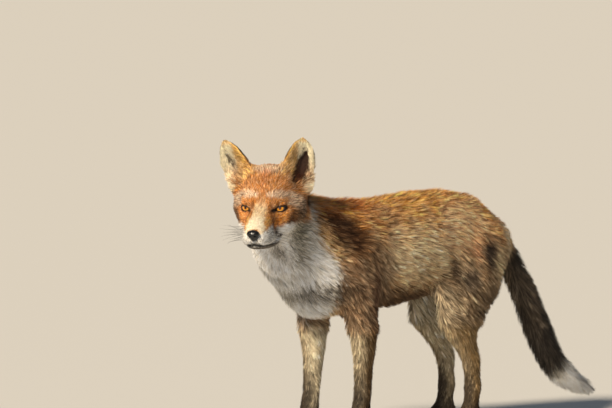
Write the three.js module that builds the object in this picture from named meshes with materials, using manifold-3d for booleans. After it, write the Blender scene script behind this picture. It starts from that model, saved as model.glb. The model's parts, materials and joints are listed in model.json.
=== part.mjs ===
// A life-size red fox, standing still with its head turned to its left.
// Millimetres. -Y is forward, +X is the fox's left, +Z is up, and the floor is Z = 0.
//
// The body is one soft field: joints carry tapering limbs, and eggs of muscle and coat melt into
// them. The field is parted by thin flat cuts into the pieces that a person would name.
import * as THREE from "three";
import Module from "manifold-3d";

const wasm = await Module();
wasm.setup();

// ---------------------------------------------------------------- driving dimensions
const WITHERS = 385; // top of the shoulders, coat included
const LOIN = 396; // highest point of the back
const BRISKET = 199; // lowest point of the chest
const HEAD_TURN = 38; // degrees to the left
const HEAD_DIP = 15; // degrees nose down
const EYE_LEVEL = 383;
const EYE_APART = 53; // between the centres of the eyes
const EYE_RADIUS = 9.6;
const MUZZLE = 85; // from between the eyes to the middle of the nose pad
const EAR_LENGTH = 87;
const EAR_WIDTH = 60;
const FORE_REACH = { left: 0, right: 34 }; // how far each fore paw stands ahead
const HIND_REACH = { left: 0, right: -26 };
const TAIL_RADIUS = 26;
const GAP = 0.3; // between neighbouring pieces
const SIDES = { left: 1, right: -1 };

const degrees = THREE.MathUtils.degToRad;
const at = (forward, left, up) => new THREE.Vector3(left, -forward, up);

// ---------------------------------------------------------------- fields
// A field gives the signed distance to a surface, negative inside.
function blend(a, b, softness) {
  const h = Math.max(softness - Math.abs(a - b), 0) / softness;
  return Math.min(a, b) - h * h * softness * 0.25;
}

const meld = (softness, ...fields) => (x, y, z) =>
  fields.slice(1).reduce((d, f) => blend(d, f(x, y, z), softness), fields[0](x, y, z));

const carve = (body, tool, softness) => (x, y, z) => -blend(-body(x, y, z), tool(x, y, z), softness);

function placed(field, matrix) {
  const e = matrix.clone().invert().elements;
  return (x, y, z) =>
    field(
      e[0] * x + e[4] * y + e[8] * z + e[12],
      e[1] * x + e[5] * y + e[9] * z + e[13],
      e[2] * x + e[6] * y + e[10] * z + e[14],
    );
}

const mirrored = (field) => (x, y, z) => field(Math.abs(x), y, z);

// An egg with half sizes across, along and up, tilted about X, then turned about Z.
function egg(centre, [across, along, up], tilt = 0, turn = 0) {
  const frame = new THREE.Matrix4()
    .makeRotationFromEuler(new THREE.Euler(degrees(tilt), 0, degrees(turn), "ZYX"))
    .setPosition(centre);
  return placed((x, y, z) => {
    const [u, v, w] = [x / across, y / along, z / up];
    const inside = Math.sqrt(u * u + v * v + w * w);
    const slope = Math.sqrt((u / across) ** 2 + (v / along) ** 2 + (w / up) ** 2);
    return slope < 1e-9 ? -Math.min(across, along, up) : (inside * (inside - 1)) / slope;
  }, frame);
}

// A limb through stations [point, half width, half depth]. Depth is measured towards "deep".
function limb(stations, deep, softness = 8) {
  const spans = stations.slice(1).map(([end, wide1, deep1], i) => {
    const [start, wide0, deep0] = stations[i];
    const along = end.clone().sub(start);
    const length = along.length();
    along.divideScalar(length);
    const side = along.clone().cross(deep).normalize();
    const front = side.clone().cross(along).normalize();
    return { start, length, along, side, front, wide0, wide1, deep0, deep1 };
  });
  const offset = new THREE.Vector3();
  return (x, y, z) => {
    let d = Infinity;
    for (const s of spans) {
      offset.set(x - s.start.x, y - s.start.y, z - s.start.z);
      const t = THREE.MathUtils.clamp(offset.dot(s.along) / s.length, 0, 1);
      offset.addScaledVector(s.along, -t * s.length);
      const wide = s.wide0 + (s.wide1 - s.wide0) * t;
      const depth = s.deep0 + (s.deep1 - s.deep0) * t;
      const far = offset.length();
      const share = Math.hypot(
        offset.dot(s.side) / wide,
        offset.dot(s.front) / depth,
        (2 * offset.dot(s.along)) / (wide + depth),
      );
      const here = far < 1e-6 ? -Math.min(wide, depth) : far * (1 - 1 / share);
      d = d === Infinity ? here : blend(d, here, softness);
    }
    return d;
  };
}

// ---------------------------------------------------------------- trunk, neck and tail
const UP = new THREE.Vector3(0, 0, 1);
const FORWARD = new THREE.Vector3(0, -1, 0);

// A station of the trunk from the heights of its back and belly.
const girth = (forward, back, belly, halfWidth) => [
  at(forward, 0, (back + belly) / 2),
  halfWidth,
  (back - belly) / 2,
];

const trunk = limb(
  [
    girth(172, WITHERS - 6, BRISKET + 12, 50),
    girth(130, WITHERS, BRISKET, 62),
    girth(70, WITHERS + 5, BRISKET + 3, 67),
    girth(10, LOIN - 1, BRISKET + 14, 66),
    girth(-45, LOIN, BRISKET + 24, 60),
    girth(-95, LOIN - 9, BRISKET + 34, 54),
    girth(-142, LOIN - 50, BRISKET + 46, 45),
  ],
  UP,
);
const breast = egg(at(218, 0, 259), [62, 68, 72], 20);
const shoulders = mirrored(egg(at(150, 40, 300), [26, 48, 62], -12));
const rump = egg(at(-148, 0, 299), [45, 46, 46], 35);

const ATLAS = at(308, 14, 352);
const neck = limb(
  [
    [at(170, 0, 315), 54, 72],
    [at(240, 3, 330), 50, 68],
    [ATLAS, 46, 56],
  ],
  UP,
  20,
);
const ruff = egg(at(282, 0, 298), [48, 54, 56]);
const bib = egg(at(316, -10, 306), [22, 22, 18]);

const TAIL_SPINE = new THREE.CatmullRomCurve3([
  at(-158, 0, 308),
  at(-187, 0, 286),
  at(-222, 0, 237),
  at(-256, -2, 172),
  at(-290, -4, 112),
  at(-332, -6, 66),
  at(-388, -8, 42),
]);
const TAIL_STATIONS = 12;
const tailRadius = (t) => TAIL_RADIUS * (0.84 + 0.34 * t - 0.62 * t ** 5);
const tail = limb(
  Array.from({ length: TAIL_STATIONS }, (_, i) => {
    const t = i / (TAIL_STATIONS - 1);
    return [TAIL_SPINE.getPointAt(t), tailRadius(t) * 0.94, tailRadius(t)];
  }),
  UP,
  12,
);

// ---------------------------------------------------------------- legs
const PAW = { long: 27, wide: 19, high: 17 };
const TOES = [
  { ahead: 19, aside: -17, up: 10, long: 13 },
  { ahead: 29, aside: -6.5, up: 11, long: 15 },
  { ahead: 29, aside: 6.5, up: 11, long: 15 },
  { ahead: 19, aside: 17, up: 10, long: 13 },
];

function paw(heel) {
  const pad = egg(at(-heel.y + 6, heel.x, PAW.high - 1), [PAW.wide, PAW.long, PAW.high]);
  const toes = TOES.map((t) => egg(at(-heel.y + t.ahead, heel.x + t.aside, t.up), [7.6, t.long, 9.6]));
  return meld(5, pad, ...toes);
}

function foreLeg(side, reach) {
  const x = (out) => SIDES[side] * out;
  const heel = at(160 + reach, x(45), 0);
  const bones = limb(
    [
      [at(178 + 0.3 * reach, x(40), 292), 26, 46],
      [at(166 + 0.5 * reach, x(45), 244), 26, 43],
      [at(160 + 0.7 * reach, x(46), 206), 24, 35],
      [at(155 + 0.85 * reach, x(46), 176), 21, 29],
      [at(152 + 0.95 * reach, x(45), 140), 18, 22],
      [at(154 + reach, x(45), 78), 14.5, 16],
      [at(158 + reach, x(45), 44), 15, 14.5],
      [at(164 + reach, x(45), 22), 16, 15],
    ],
    FORWARD,
  );
  return { heel, field: meld(10, bones, paw(heel)) };
}

function hindLeg(side, reach) {
  const x = (out) => SIDES[side] * out;
  const heel = at(-80 + reach, x(48), 0);
  const bones = limb(
    [
      [at(-112 + 0.1 * reach, x(34), 300), 32, 62],
      [at(-86 + 0.3 * reach, x(42), 250), 29, 61],
      [at(-58 + 0.6 * reach, x(46), 216), 24, 60],
      [at(-50 + 0.8 * reach, x(48), 190), 20, 50],
      [at(-54 + reach, x(48), 166), 16.5, 33],
      [at(-64 + reach, x(48), 141), 14, 21.5],
      [at(-79 + reach, x(48), 112), 12.5, 17],
      [at(-82 + reach, x(48), 66), 12.5, 13],
      [at(-76 + reach, x(48), 24), 15, 15],
    ],
    FORWARD,
    14,
  );
  return { heel, field: meld(10, bones, paw(heel)) };
}

// ---------------------------------------------------------------- head
// The head has its own frame: the origin lies between the eyes, and -Y runs out to the nose.
const BROW = at(374, 54.5, EYE_LEVEL);
const HEAD = new THREE.Matrix4()
  .makeRotationFromEuler(new THREE.Euler(degrees(HEAD_DIP), 0, degrees(HEAD_TURN), "ZYX"))
  .setPosition(BROW);
const inHead = (x, y, z) => new THREE.Vector3(x, y, z);
const NOSE = inHead(0, -MUZZLE, -17);

const skull = limb(
  [
    [inHead(0, 0, -4), 27, 22],
    [inHead(0, 26, 4), 38, 34],
    [inHead(0, 54, 12), 47, 42],
    [inHead(0, 68, 8), 45, 38],
  ],
  UP,
  14,
);
const cheeks = mirrored(egg(inHead(38, 56, -12), [25, 38, 31], 0, 8));
const throat = egg(inHead(0, 44, -26), [42, 48, 27]);
const cheekbones = mirrored(egg(inHead(30, 14, -10), [15, 27, 13], 8, -22));
const lappets = mirrored(egg(inHead(58, 64, 15), [15, 12, 14], 0, -10)); // fur below each ear
const brows = mirrored(egg(inHead(20, 2, 12), [12, 13, 7], 20, 24));
const muzzle = limb(
  [
    [inHead(0, 2, -13), 28, 25],
    [inHead(0, -30, -16), 22, 20.5],
    [inHead(0, -54, -18), 19.5, 17],
    [inHead(0, -72, -19), 16.5, 13.5],
  ],
  UP,
);
const lips = mirrored(egg(inHead(14, -54, -30.5), [12, 31, 14.5], -6, -8));
const jaws = mirrored(egg(inHead(16, -26, -48), [10, 40, 9.5], -8, -14));
const jowls = mirrored(egg(inHead(29, 10, -31), [16, 34, 16], 0, -20));
const chin = limb(
  [
    [inHead(0, 10, -42), 26, 14],
    [inHead(0, -40, -42), 17, 9.5],
    [inHead(0, -68, -40), 10.5, 7],
  ],
  UP,
);
const face = meld(
  10,
  meld(16, skull, throat),
  cheeks,
  cheekbones,
  lappets,
  brows,
  meld(9, meld(7, muzzle, lips, chin, jaws), jowls),
);
const orbit = mirrored(egg(inHead(EYE_APART / 2 + 6, -10, 0), [12, 11, 7], 0, 32));
const headAlone = carve(face, orbit, 8);

// An ear's own frame: the origin lies at its root, +Z runs to the tip, and it opens towards -Y.
const EAR_POSE = {
  left: { lean: 11, back: 4, twist: 17 },
  right: { lean: 25, back: 4, twist: 17 },
};
const EAR_ROOT = { x: 41, y: 66, z: 15 };
const RIM = 7.5; // thickness of the ear, coat included

function earFrame(side) {
  const { lean, back, twist } = EAR_POSE[side];
  const s = SIDES[side];
  return HEAD.clone().multiply(
    new THREE.Matrix4()
      .makeRotationFromEuler(new THREE.Euler(degrees(-back), degrees(s * lean), degrees(s * twist), "YXZ"))
      .setPosition(s * EAR_ROOT.x, EAR_ROOT.y, EAR_ROOT.z),
  );
}

// The pinna is a cupped sheet, full at its base and drawn in to a rounded tip.
function pinna(x, y, z) {
  const t = THREE.MathUtils.clamp(z / EAR_LENGTH, 0, 1.2);
  const across = Math.abs(x) / (EAR_WIDTH / 2);
  const cup = 15 * Math.min(across, 1.3) ** 2 - 10 * (1 - t);
  const sheet = Math.abs(y + cup - 3 * Math.sin(Math.PI * t)) - (RIM / 2) * (1.3 - 0.35 * t);
  const narrowing = Math.min(1, 0.8 + 0.7 * t);
  const outline = Math.max(45 * (Math.sqrt((across / narrowing) ** 1.18 + t ** 4) - 1), -8 - z);
  return -blend(-sheet, -outline, 7);
}
const earButt = egg(new THREE.Vector3(0, 8, 8), [30, 18, 26]);
const earField = carve(meld(9, pinna, earButt), egg(new THREE.Vector3(0, -12, 34), [18, 13, 34], -4), 6);

// ---------------------------------------------------------------- the whole fox
const legs = {
  fore_left: foreLeg("left", FORE_REACH.left),
  fore_right: foreLeg("right", FORE_REACH.right),
  hind_left: hindLeg("left", HIND_REACH.left),
  hind_right: hindLeg("right", HIND_REACH.right),
};
const ears = Object.fromEntries(Object.keys(SIDES).map((side) => [side, earFrame(side)]));
const torso = meld(24, trunk, neck, ruff, bib, breast, rump);
const fox = meld(
  12,
  meld(20, torso, placed(headAlone, HEAD)),
  shoulders,
  tail,
  ...Object.values(legs).map((leg) => leg.field),
  ...Object.values(ears).map((frame) => placed(earField, frame)),
);

// ---------------------------------------------------------------- surfaces
// A net over the field: one vertex in every cell that the surface crosses, and one quad round
// every grid edge that it cuts. The grid lies in "frame", with its own cell size on each axis.
const CORNERS = Array.from({ length: 8 }, (_, i) => [i & 1, (i >> 1) & 1, (i >> 2) & 1]);
const EDGES = CORNERS.flatMap((a, i) =>
  CORNERS.map((b, j) => [i, j]).filter(([p, q]) => p < q && [1, 2, 4].includes(p ^ q)),
);

function net(field, frame, box, cell) {
  const local = placed(field, frame.clone().invert());
  const count = box.getSize(new THREE.Vector3()).divideScalar(cell).ceil().addScalar(1).toArray();
  const step = [1, count[0], count[0] * count[1]];
  const place = (i, j, k) => [box.min.x + i * cell, box.min.y + j * cell, box.min.z + k * cell];
  const values = new Float32Array(count[0] * count[1] * count[2]);
  const index = (i, j, k) => i + j * step[1] + k * step[2];
  const each = (trim, visit) => {
    for (let k = 0; k < count[2] - trim; k++)
      for (let j = 0; j < count[1] - trim; j++) for (let i = 0; i < count[0] - trim; i++) visit(i, j, k);
  };
  each(0, (i, j, k) => {
    const edge = [i, j, k].some((n, axis) => n === 0 || n === count[axis] - 1);
    const d = local(...place(i, j, k));
    values[index(i, j, k)] = edge ? Math.max(d, 1) : d || 1e-6;
  });

  // A grid square with its corners in and out by turns would make two sheets share an edge, so
  // its shallower outside corner is filled, until no such square is left.
  for (let filled = 1; filled; ) {
    filled = 0;
    each(1, (i, j, k) => {
      const here = index(i, j, k);
      for (let axis = 0; axis < 3; axis++) {
        const [u, v] = [step[(axis + 1) % 3], step[(axis + 2) % 3]];
        const [a, b, c, d] = [here, here + u, here + u + v, here + v].map((n) => values[n] < 0);
        if (a !== c || b !== d || a === b) continue;
        const [p, q] = a ? [here + u, here + v] : [here, here + u + v];
        values[values[p] < values[q] ? p : q] = -0.05;
        filled++;
      }
    });
  }

  const vertexOf = new Map();
  const points = [];
  each(1, (i, j, k) => {
    const base = index(i, j, k);
    const inside = CORNERS.map(([a, b, c]) => values[base + a + b * step[1] + c * step[2]]);
    const crossing = EDGES.filter(([p, q]) => inside[p] < 0 !== inside[q] < 0);
    if (!crossing.length) return;
    const sum = new THREE.Vector3();
    for (const [p, q] of crossing) {
      const t = inside[p] / (inside[p] - inside[q]);
      sum.add(new THREE.Vector3(...CORNERS[p]).lerp(new THREE.Vector3(...CORNERS[q]), t));
    }
    sum.multiplyScalar(cell / crossing.length).add(new THREE.Vector3(...place(i, j, k)));
    vertexOf.set(base, points.push(settle(local, sum, cell)) - 1);
  });

  const triangles = [];
  each(1, (i, j, k) => {
    const here = index(i, j, k);
    for (let axis = 0; axis < 3; axis++) {
      const out = values[here] < 0;
      if (out === values[here + step[axis]] < 0) continue;
      const [u, v] = [step[(axis + 1) % 3], step[(axis + 2) % 3]];
      const ring = [here - u - v, here - v, here, here - u].map((n) => vertexOf.get(n));
      if (!out) ring.reverse();
      const [a, b, c, d] = ring;
      const short = points[a].distanceTo(points[c]) <= points[b].distanceTo(points[d]);
      triangles.push(...(short ? [[a, b, c], [a, c, d]] : [[a, b, d], [b, c, d]]));
    }
  });
  points.forEach((p) => p.applyMatrix4(frame));
  return { points, triangles };
}

// Moves a point onto the field's zero, by less than half a cell.
function settle(field, p, cell) {
  const h = 0.3;
  const d = field(p.x, p.y, p.z);
  const slope = new THREE.Vector3(
    field(p.x + h, p.y, p.z) - d,
    field(p.x, p.y + h, p.z) - d,
    field(p.x, p.y, p.z + h) - d,
  ).divideScalar(h);
  const most = 0.35 * cell;
  const move = THREE.MathUtils.clamp(-d / Math.max(slope.lengthSq(), 0.4), -most, most);
  return p.addScaledVector(slope, move);
}

// Merges the ends of edges, those that matter least to the shape first, until "keep" triangles
// are left. Each point carries the sum of the squared distances to the planes round it.
function thinned({ points, triangles }, keep) {
  const faces = triangles.map((t) => t.slice());
  const round = points.map(() => new Set());
  const planes = points.map(() => new Float64Array(10));
  const corners = (f) => f.map((n) => points[n]);
  const facing = ([a, b, c]) => b.clone().sub(a).cross(c.clone().sub(a));
  faces.forEach((f, i) => {
    const normal = facing(corners(f));
    const area = normal.length() / 2;
    normal.normalize();
    const plane = [normal.x, normal.y, normal.z, -normal.dot(points[f[0]])];
    for (const n of f) {
      round[n].add(i);
      let slot = 0;
      for (let r = 0; r < 4; r++) for (let c = r; c < 4; c++) planes[n][slot++] += area * plane[r] * plane[c];
    }
  });
  const worth = (q, { x, y, z }) =>
    x * (q[0] * x + 2 * (q[1] * y + q[2] * z + q[3])) +
    y * (q[4] * y + 2 * (q[5] * z + q[6])) +
    z * (q[7] * z + 2 * q[8]) +
    q[9];
  const best = (q, a, b) => {
    const middle = a.clone().lerp(b, 0.5);
    const m = new THREE.Matrix3().set(q[0], q[1], q[2], q[1], q[4], q[5], q[2], q[5], q[7]);
    if (Math.abs(m.determinant()) < 1e-3 * q.reduce((sum, n) => sum + Math.abs(n), 0)) return middle;
    const p = new THREE.Vector3(-q[3], -q[6], -q[8]).applyMatrix3(m.invert());
    return p.distanceTo(middle) < a.distanceTo(b) ? p : middle;
  };
  const neighbours = (n) => new Set([...round[n]].flatMap((i) => faces[i]));
  const folds = (n, other, p) =>
    [...round[n]].some((i) => {
      if (faces[i].includes(other)) return false;
      const before = facing(corners(faces[i]));
      const after = facing(faces[i].map((m) => (m === n ? p : points[m])));
      return before.dot(after) < 0.3 * before.length() * after.length();
    });

  let left = faces.length;
  for (let limit = 0.01; left > keep && limit < 1e6; limit *= 1.5) {
    for (let i = 0; i < faces.length && left > keep; i++) {
      for (let e = 0; e < 3 && faces[i]; e++) {
        const [a, b] = [faces[i][e], faces[i][(e + 1) % 3]];
        const q = planes[a].map((n, slot) => n + planes[b][slot]);
        const p = best(q, points[a], points[b]);
        if (worth(q, p) > limit || folds(a, b, p) || folds(b, a, p)) continue;
        const near = neighbours(b);
        if ([...neighbours(a)].filter((n) => n !== a && n !== b && near.has(n)).length !== 2) continue;
        points[a] = p;
        planes[a] = q;
        for (const f of round[b]) {
          if (faces[f].includes(a)) {
            for (const n of faces[f]) if (n !== b) round[n].delete(f);
            faces[f] = null;
            left--;
          } else {
            faces[f] = faces[f].map((n) => (n === b ? a : n));
            round[a].add(f);
          }
        }
        round[b].clear();
      }
    }
  }
  return { points, triangles: faces.filter(Boolean) };
}

function solidOf({ points, triangles }) {
  return new wasm.Manifold(
    new wasm.Mesh({
      numProp: 3,
      vertProperties: new Float32Array(points.flatMap((p) => p.toArray())),
      triVerts: new Uint32Array(triangles.flat()),
    }),
  );
}

// ---------------------------------------------------------------- parting
// A region is a list of half spaces, each the side that "facing" points to.
const through = (point, facing) => {
  const normal = facing.clone().normalize();
  return { normal, offset: normal.dot(point) };
};
const ahead = (forward) => through(at(forward, 0, 0), at(1, 0, 0));
const behind = (forward) => through(at(forward, 0, 0), at(-1, 0, 0));
const above = (up) => through(at(0, 0, up), UP);
const below = (up) => through(at(0, 0, up), UP.clone().negate());
const beside = (side, out = 0) => through(at(0, SIDES[side] * out, 0), at(0, SIDES[side], 0));
const headSide = (point, facing) =>
  through(point.clone().applyMatrix4(HEAD), facing.clone().transformDirection(HEAD));
const opposite = ({ normal, offset }) => ({ normal: normal.clone().negate(), offset: -offset });

const NAPE = headSide(inHead(0, 100, 40), inHead(0, -0.93, 0.37));
const NECK_ROOT = through(at(168, 0, 382), at(0.8, 0, 0.6));
const MOUTH = headSide(inHead(0, -60, -41.5), inHead(0, -0.2, -1));
const MOUTH_CORNER = headSide(inHead(0, -14, 0), inHead(0, -1, 0));
const WRIST = 62;
const KNEE = 178;
const HOCK = 98;
const TAIL_ROOT = through(at(-190, 0, 304), at(-0.86, 0, -0.5));
const MIDDLE = 60; // forward of this stand the fore legs, and behind it the hind legs
const TAIL_SPLIT = 0.72;

const regions = {
  trunk: [above(KNEE), opposite(NAPE), opposite(TAIL_ROOT)],
  head: [NAPE],
  lower_jaw: [NAPE, MOUTH, MOUTH_CORNER],
  neck: [opposite(NAPE), NECK_ROOT],
  tail: [
    TAIL_ROOT,
    behind(-160),
    beside("left", -46),
    beside("right", -46),
    through(TAIL_SPINE.getPointAt(TAIL_SPLIT), TAIL_SPINE.getTangentAt(TAIL_SPLIT).negate()),
  ],
  tail_tip: [behind(-160), through(TAIL_SPINE.getPointAt(TAIL_SPLIT), TAIL_SPINE.getTangentAt(TAIL_SPLIT))],
};
for (const [side, s] of Object.entries(SIDES)) {
  const inEar = (point, facing) =>
    through(point.applyMatrix4(ears[side]), facing.transformDirection(ears[side]));
  regions[`ear_${side}`] = [
    inEar(new THREE.Vector3(0, 0, 27), UP.clone()),
    inEar(new THREE.Vector3(s * -30, 0, 38), new THREE.Vector3(s * 0.8, 0, 0.6)),
  ];
  regions[`upper_fore_${side}`] = [
    through(at(0, s * 16, 190), at(0, s * 0.933, -0.36)),
    ahead(108 + 0.7 * FORE_REACH[side]),
    through(at(206 + FORE_REACH[side], 0, 200), at(-0.91, 0, 0.41)),
    above(KNEE),
    opposite(NECK_ROOT),
    beside(side, 3),
  ];
  regions[`forearm_${side}`] = [below(KNEE), above(WRIST), ahead(MIDDLE), beside(side)];
  regions[`forepaw_${side}`] = [below(WRIST), above(0), ahead(MIDDLE), beside(side)];
  regions[`thigh_${side}`] = [
    through(at(0, s * 30, 258), at(0, s * 0.88, -0.475)),
    through(at(32, 0, 200), at(-0.82, 0, -0.57)),
    above(KNEE),
    opposite(TAIL_ROOT),
    beside(side, 3),
  ];
  regions[`shank_${side}`] = [below(KNEE), above(HOCK), behind(MIDDLE), ahead(-215), beside(side)];
  regions[`hindpaw_${side}`] = [below(HOCK), above(0), behind(MIDDLE), ahead(-215), beside(side)];
}

const cut = (solid, planes, gap) =>
  planes.reduce((s, { normal, offset }) => s.trimByPlane(normal.toArray(), offset + gap), solid);

// The region as a solid of its own, a little larger, to take out of its neighbours.
const EVERYTHING = 1400;
const room = (planes) =>
  cut(solidFrom(new THREE.BoxGeometry(EVERYTHING, EVERYTHING, EVERYTHING)), planes, -GAP / 2);

// Points in or near the fox, from which a block of it finds its bounds.
const SCOUT = 9;
const scouted = [];
for (let x = -110; x <= 190; x += SCOUT)
  for (let y = -480; y <= 450; y += SCOUT)
    for (let z = -8; z <= 520; z += SCOUT)
      if (fox(x, y, z) < SCOUT) scouted.push(new THREE.Vector3(x, y, z));

// A block of the fox that runs a little past the region's planes, ready to be cut by them.
function block(planes, cell, keep, frame = new THREE.Matrix4()) {
  const margin = 1.5 * cell;
  const past = (x, y, z) =>
    Math.max(...planes.map(({ normal, offset }) => offset - normal.x * x - normal.y * y - normal.z * z));
  const cropped = (x, y, z) => Math.max(fox(x, y, z), past(x, y, z) - margin);
  const back = frame.clone().invert();
  const box = new THREE.Box3();
  for (const p of scouted)
    if (past(p.x, p.y, p.z) < margin + SCOUT) box.expandByPoint(p.clone().applyMatrix4(back));
  return solidOf(thinned(net(cropped, frame, box.expandByScalar(SCOUT + cell), cell), keep));
}

// Corners closer than a weld are made one, and a crumb that a cut has shaved off is left out.
const WELD = 0.02;
function tidy(solid) {
  const mesh = solid.getMesh();
  const points = [];
  const triangles = [];
  const seen = new Map();
  const corner = (i) => {
    const p = [0, 1, 2].map((axis) => Math.round(mesh.vertProperties[i * mesh.numProp + axis] / WELD));
    const key = p.join();
    if (!seen.has(key)) seen.set(key, points.push(new THREE.Vector3(...p).multiplyScalar(WELD)) - 1);
    return seen.get(key);
  };
  for (let i = 0; i < mesh.triVerts.length; i += 3) {
    const [a, b, c] = [0, 1, 2].map((n) => corner(mesh.triVerts[i + n]));
    if (a !== b && b !== c && c !== a) triangles.push([a, b, c]);
  }
  const bodies = solidOf({ points, triangles }).decompose();
  return bodies.sort((a, b) => b.volume() - a.volume())[0];
}

// ---------------------------------------------------------------- eyes, nose and claws
function solidFrom(geometry, matrix = new THREE.Matrix4()) {
  const position = (geometry.index ? geometry.toNonIndexed() : geometry).getAttribute("position");
  const points = [];
  const seen = new Map();
  const corner = (i) => {
    const p = new THREE.Vector3().fromBufferAttribute(position, i);
    const key = p.toArray().map((n) => Math.round(n * 1e3)).join();
    if (!seen.has(key)) seen.set(key, points.push(p.applyMatrix4(matrix)) - 1);
    return seen.get(key);
  };
  const triangles = [];
  for (let i = 0; i < position.count; i += 3) {
    const [a, b, c] = [corner(i), corner(i + 1), corner(i + 2)];
    if (a !== b && b !== c && c !== a) triangles.push([a, b, c]);
  }
  return solidOf({ points, triangles });
}

const eyeBall = (side, grown = 0) =>
  solidFrom(
    new THREE.SphereGeometry(EYE_RADIUS + grown, 10, 8).rotateX(Math.PI / 2),
    HEAD.clone().multiply(
      new THREE.Matrix4().makeTranslation((SIDES[side] * EYE_APART) / 2, 4, 0),
    ),
  );

// The nose pad, and the same pad pushed out from its middle for the socket that holds it.
const padField = meld(
  4,
  egg(NOSE.clone().add(inHead(0, 0, 2)), [10.8, 8, 6.6]),
  egg(NOSE.clone().add(inHead(0, 2, -5)), [5.5, 7, 6]),
);
const padBox = new THREE.Box3(NOSE.clone().addScalar(-16), NOSE.clone().addScalar(16));
const padSkin = thinned(net(padField, new THREE.Matrix4(), padBox, 2.2), 120);
const nosePad = (grown = 0) => {
  const points = padSkin.points.map((p) => {
    const outward = p.clone().sub(NOSE).setLength(grown);
    return p.clone().add(outward).applyMatrix4(HEAD);
  });
  return solidOf({ points, triangles: padSkin.triangles });
};

const CLAW = { root: 2.5, long: 13, droop: 38 };
function claw(heel, toe, grown = 0) {
  const { root, long, droop } = CLAW;
  const profile = [
    [0, -grown],
    [root + grown, -grown],
    [root * 0.72 + grown, long * 0.5],
    [0, long + grown],
  ].map(([r, h]) => new THREE.Vector2(r, h));
  const tip = at(-heel.y + toe.ahead + toe.long - 5, heel.x + toe.aside, toe.up + 1.5);
  return solidFrom(
    new THREE.LatheGeometry(profile, 4).rotateX(Math.PI + degrees(90 - droop)),
    new THREE.Matrix4().setPosition(tip),
  );
}

// ---------------------------------------------------------------- assembly
const finish = (color, roughness) => new THREE.MeshStandardMaterial({ color, roughness, metalness: 0 });
const RUSSET = finish("#b5713a", 0.9);
const GREYED = finish("#9c8468", 0.9);
const CREAM = finish("#e6dccb", 0.9);
const SOOTY = finish("#4a4038", 0.9);
const LEATHER = finish("#17140f", 0.45);
const AMBER = finish("#c47a1c", 0.12);
const HORN = finish("#2e2620", 0.5);

const root = new THREE.Group();
function show(name, solid, material) {
  const mesh = solid.getMesh();
  const g = new THREE.BufferGeometry();
  g.setAttribute("position", new THREE.BufferAttribute(new Float32Array(mesh.vertProperties), 3));
  g.setIndex(new THREE.BufferAttribute(new Uint32Array(mesh.triVerts), 1));
  g.computeVertexNormals();
  const made = new THREE.Mesh(g, material);
  made.name = name;
  root.add(made);
}

// What is left of a block after the planes have cut it and other regions have been taken out.
function piece(stock, name, ...taken) {
  const kept = cut(stock, regions[name] ?? [], GAP / 2);
  return taken.reduce((solid, other) => solid.subtract(room(regions[other])), kept);
}

const UPPER_LEGS = Object.keys(SIDES).flatMap((side) => [`upper_fore_${side}`, `thigh_${side}`]);
const barrel = block([above(KNEE), opposite(NAPE), opposite(regions.tail[0])], 9, 2130);
show("trunk", tidy(piece(barrel, "trunk", "neck", ...UPPER_LEGS)), RUSSET);
show("neck", tidy(piece(barrel, "neck")), RUSSET);
for (const name of UPPER_LEGS) show(name, tidy(piece(barrel, name)), GREYED);

const brush = block([regions.tail[0], behind(-160), beside("left", -46), beside("right", -46)], 8, 390);
show("tail", tidy(piece(brush, "tail")), GREYED);
show("tail_tip", tidy(piece(brush, "tail_tip")), CREAM);

const skullBlock = block(regions.head, 4.4, 1950, HEAD);
let head = piece(skullBlock, "head", "lower_jaw", "ear_left", "ear_right").subtract(nosePad(2 * GAP));
for (const side of Object.keys(SIDES)) {
  head = head.subtract(eyeBall(side, GAP));
  show(`eye_${side}`, eyeBall(side), AMBER);
  const earBlock = block(regions[`ear_${side}`], 2.8, 380, ears[side]);
  show(`ear_${side}`, tidy(piece(earBlock, `ear_${side}`)), RUSSET);
}
show("head", tidy(head), RUSSET);
show("lower_jaw", tidy(piece(skullBlock, "lower_jaw").subtract(nosePad(2 * GAP))), CREAM);
show("nose", nosePad(), LEATHER);

for (const [leg, { heel }] of Object.entries(legs)) {
  const [end, side] = leg.split("_");
  const [shaft, foot] = end === "fore" ? ["forearm", "forepaw"] : ["shank", "hindpaw"];
  const shaftBlock = block(regions[`${shaft}_${side}`], 6, 160);
  show(`${shaft}_${side}`, tidy(piece(shaftBlock, `${shaft}_${side}`)), GREYED);
  let sole = piece(block(regions[`${foot}_${side}`], 4.2, 185), `${foot}_${side}`);
  TOES.forEach((toe, i) => {
    sole = sole.subtract(claw(heel, toe, GAP));
    show(`claw_${leg}_${i + 1}`, claw(heel, toe), HORN);
  });
  show(`${foot}_${side}`, tidy(sole), SOOTY);
}

// The origin is moved under the middle of the fox's box, at the height of the soles.
const box = new THREE.Box3().setFromObject(root);
const middle = box.getCenter(new THREE.Vector3());
root.position.set(-middle.x, -middle.y, -box.min.z);

export default root;
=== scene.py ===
# %% [markdown]
# # A life-size red fox
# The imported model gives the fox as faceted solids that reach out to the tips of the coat. Here the
# solids of flesh give way to one seamless skin that lies deeper, and a coat of solid tufts grows back
# out to them. Eyes, nose, claws and whiskers are pieces of their own. The frame comes first, because
# every place below is worked out from its boxes.

# %% Load the frame
import json
import math

import bpy
import numpy as np
from mathutils import Matrix, Vector
from mathutils.bvhtree import BVHTree
from mathutils.kdtree import KDTree

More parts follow.
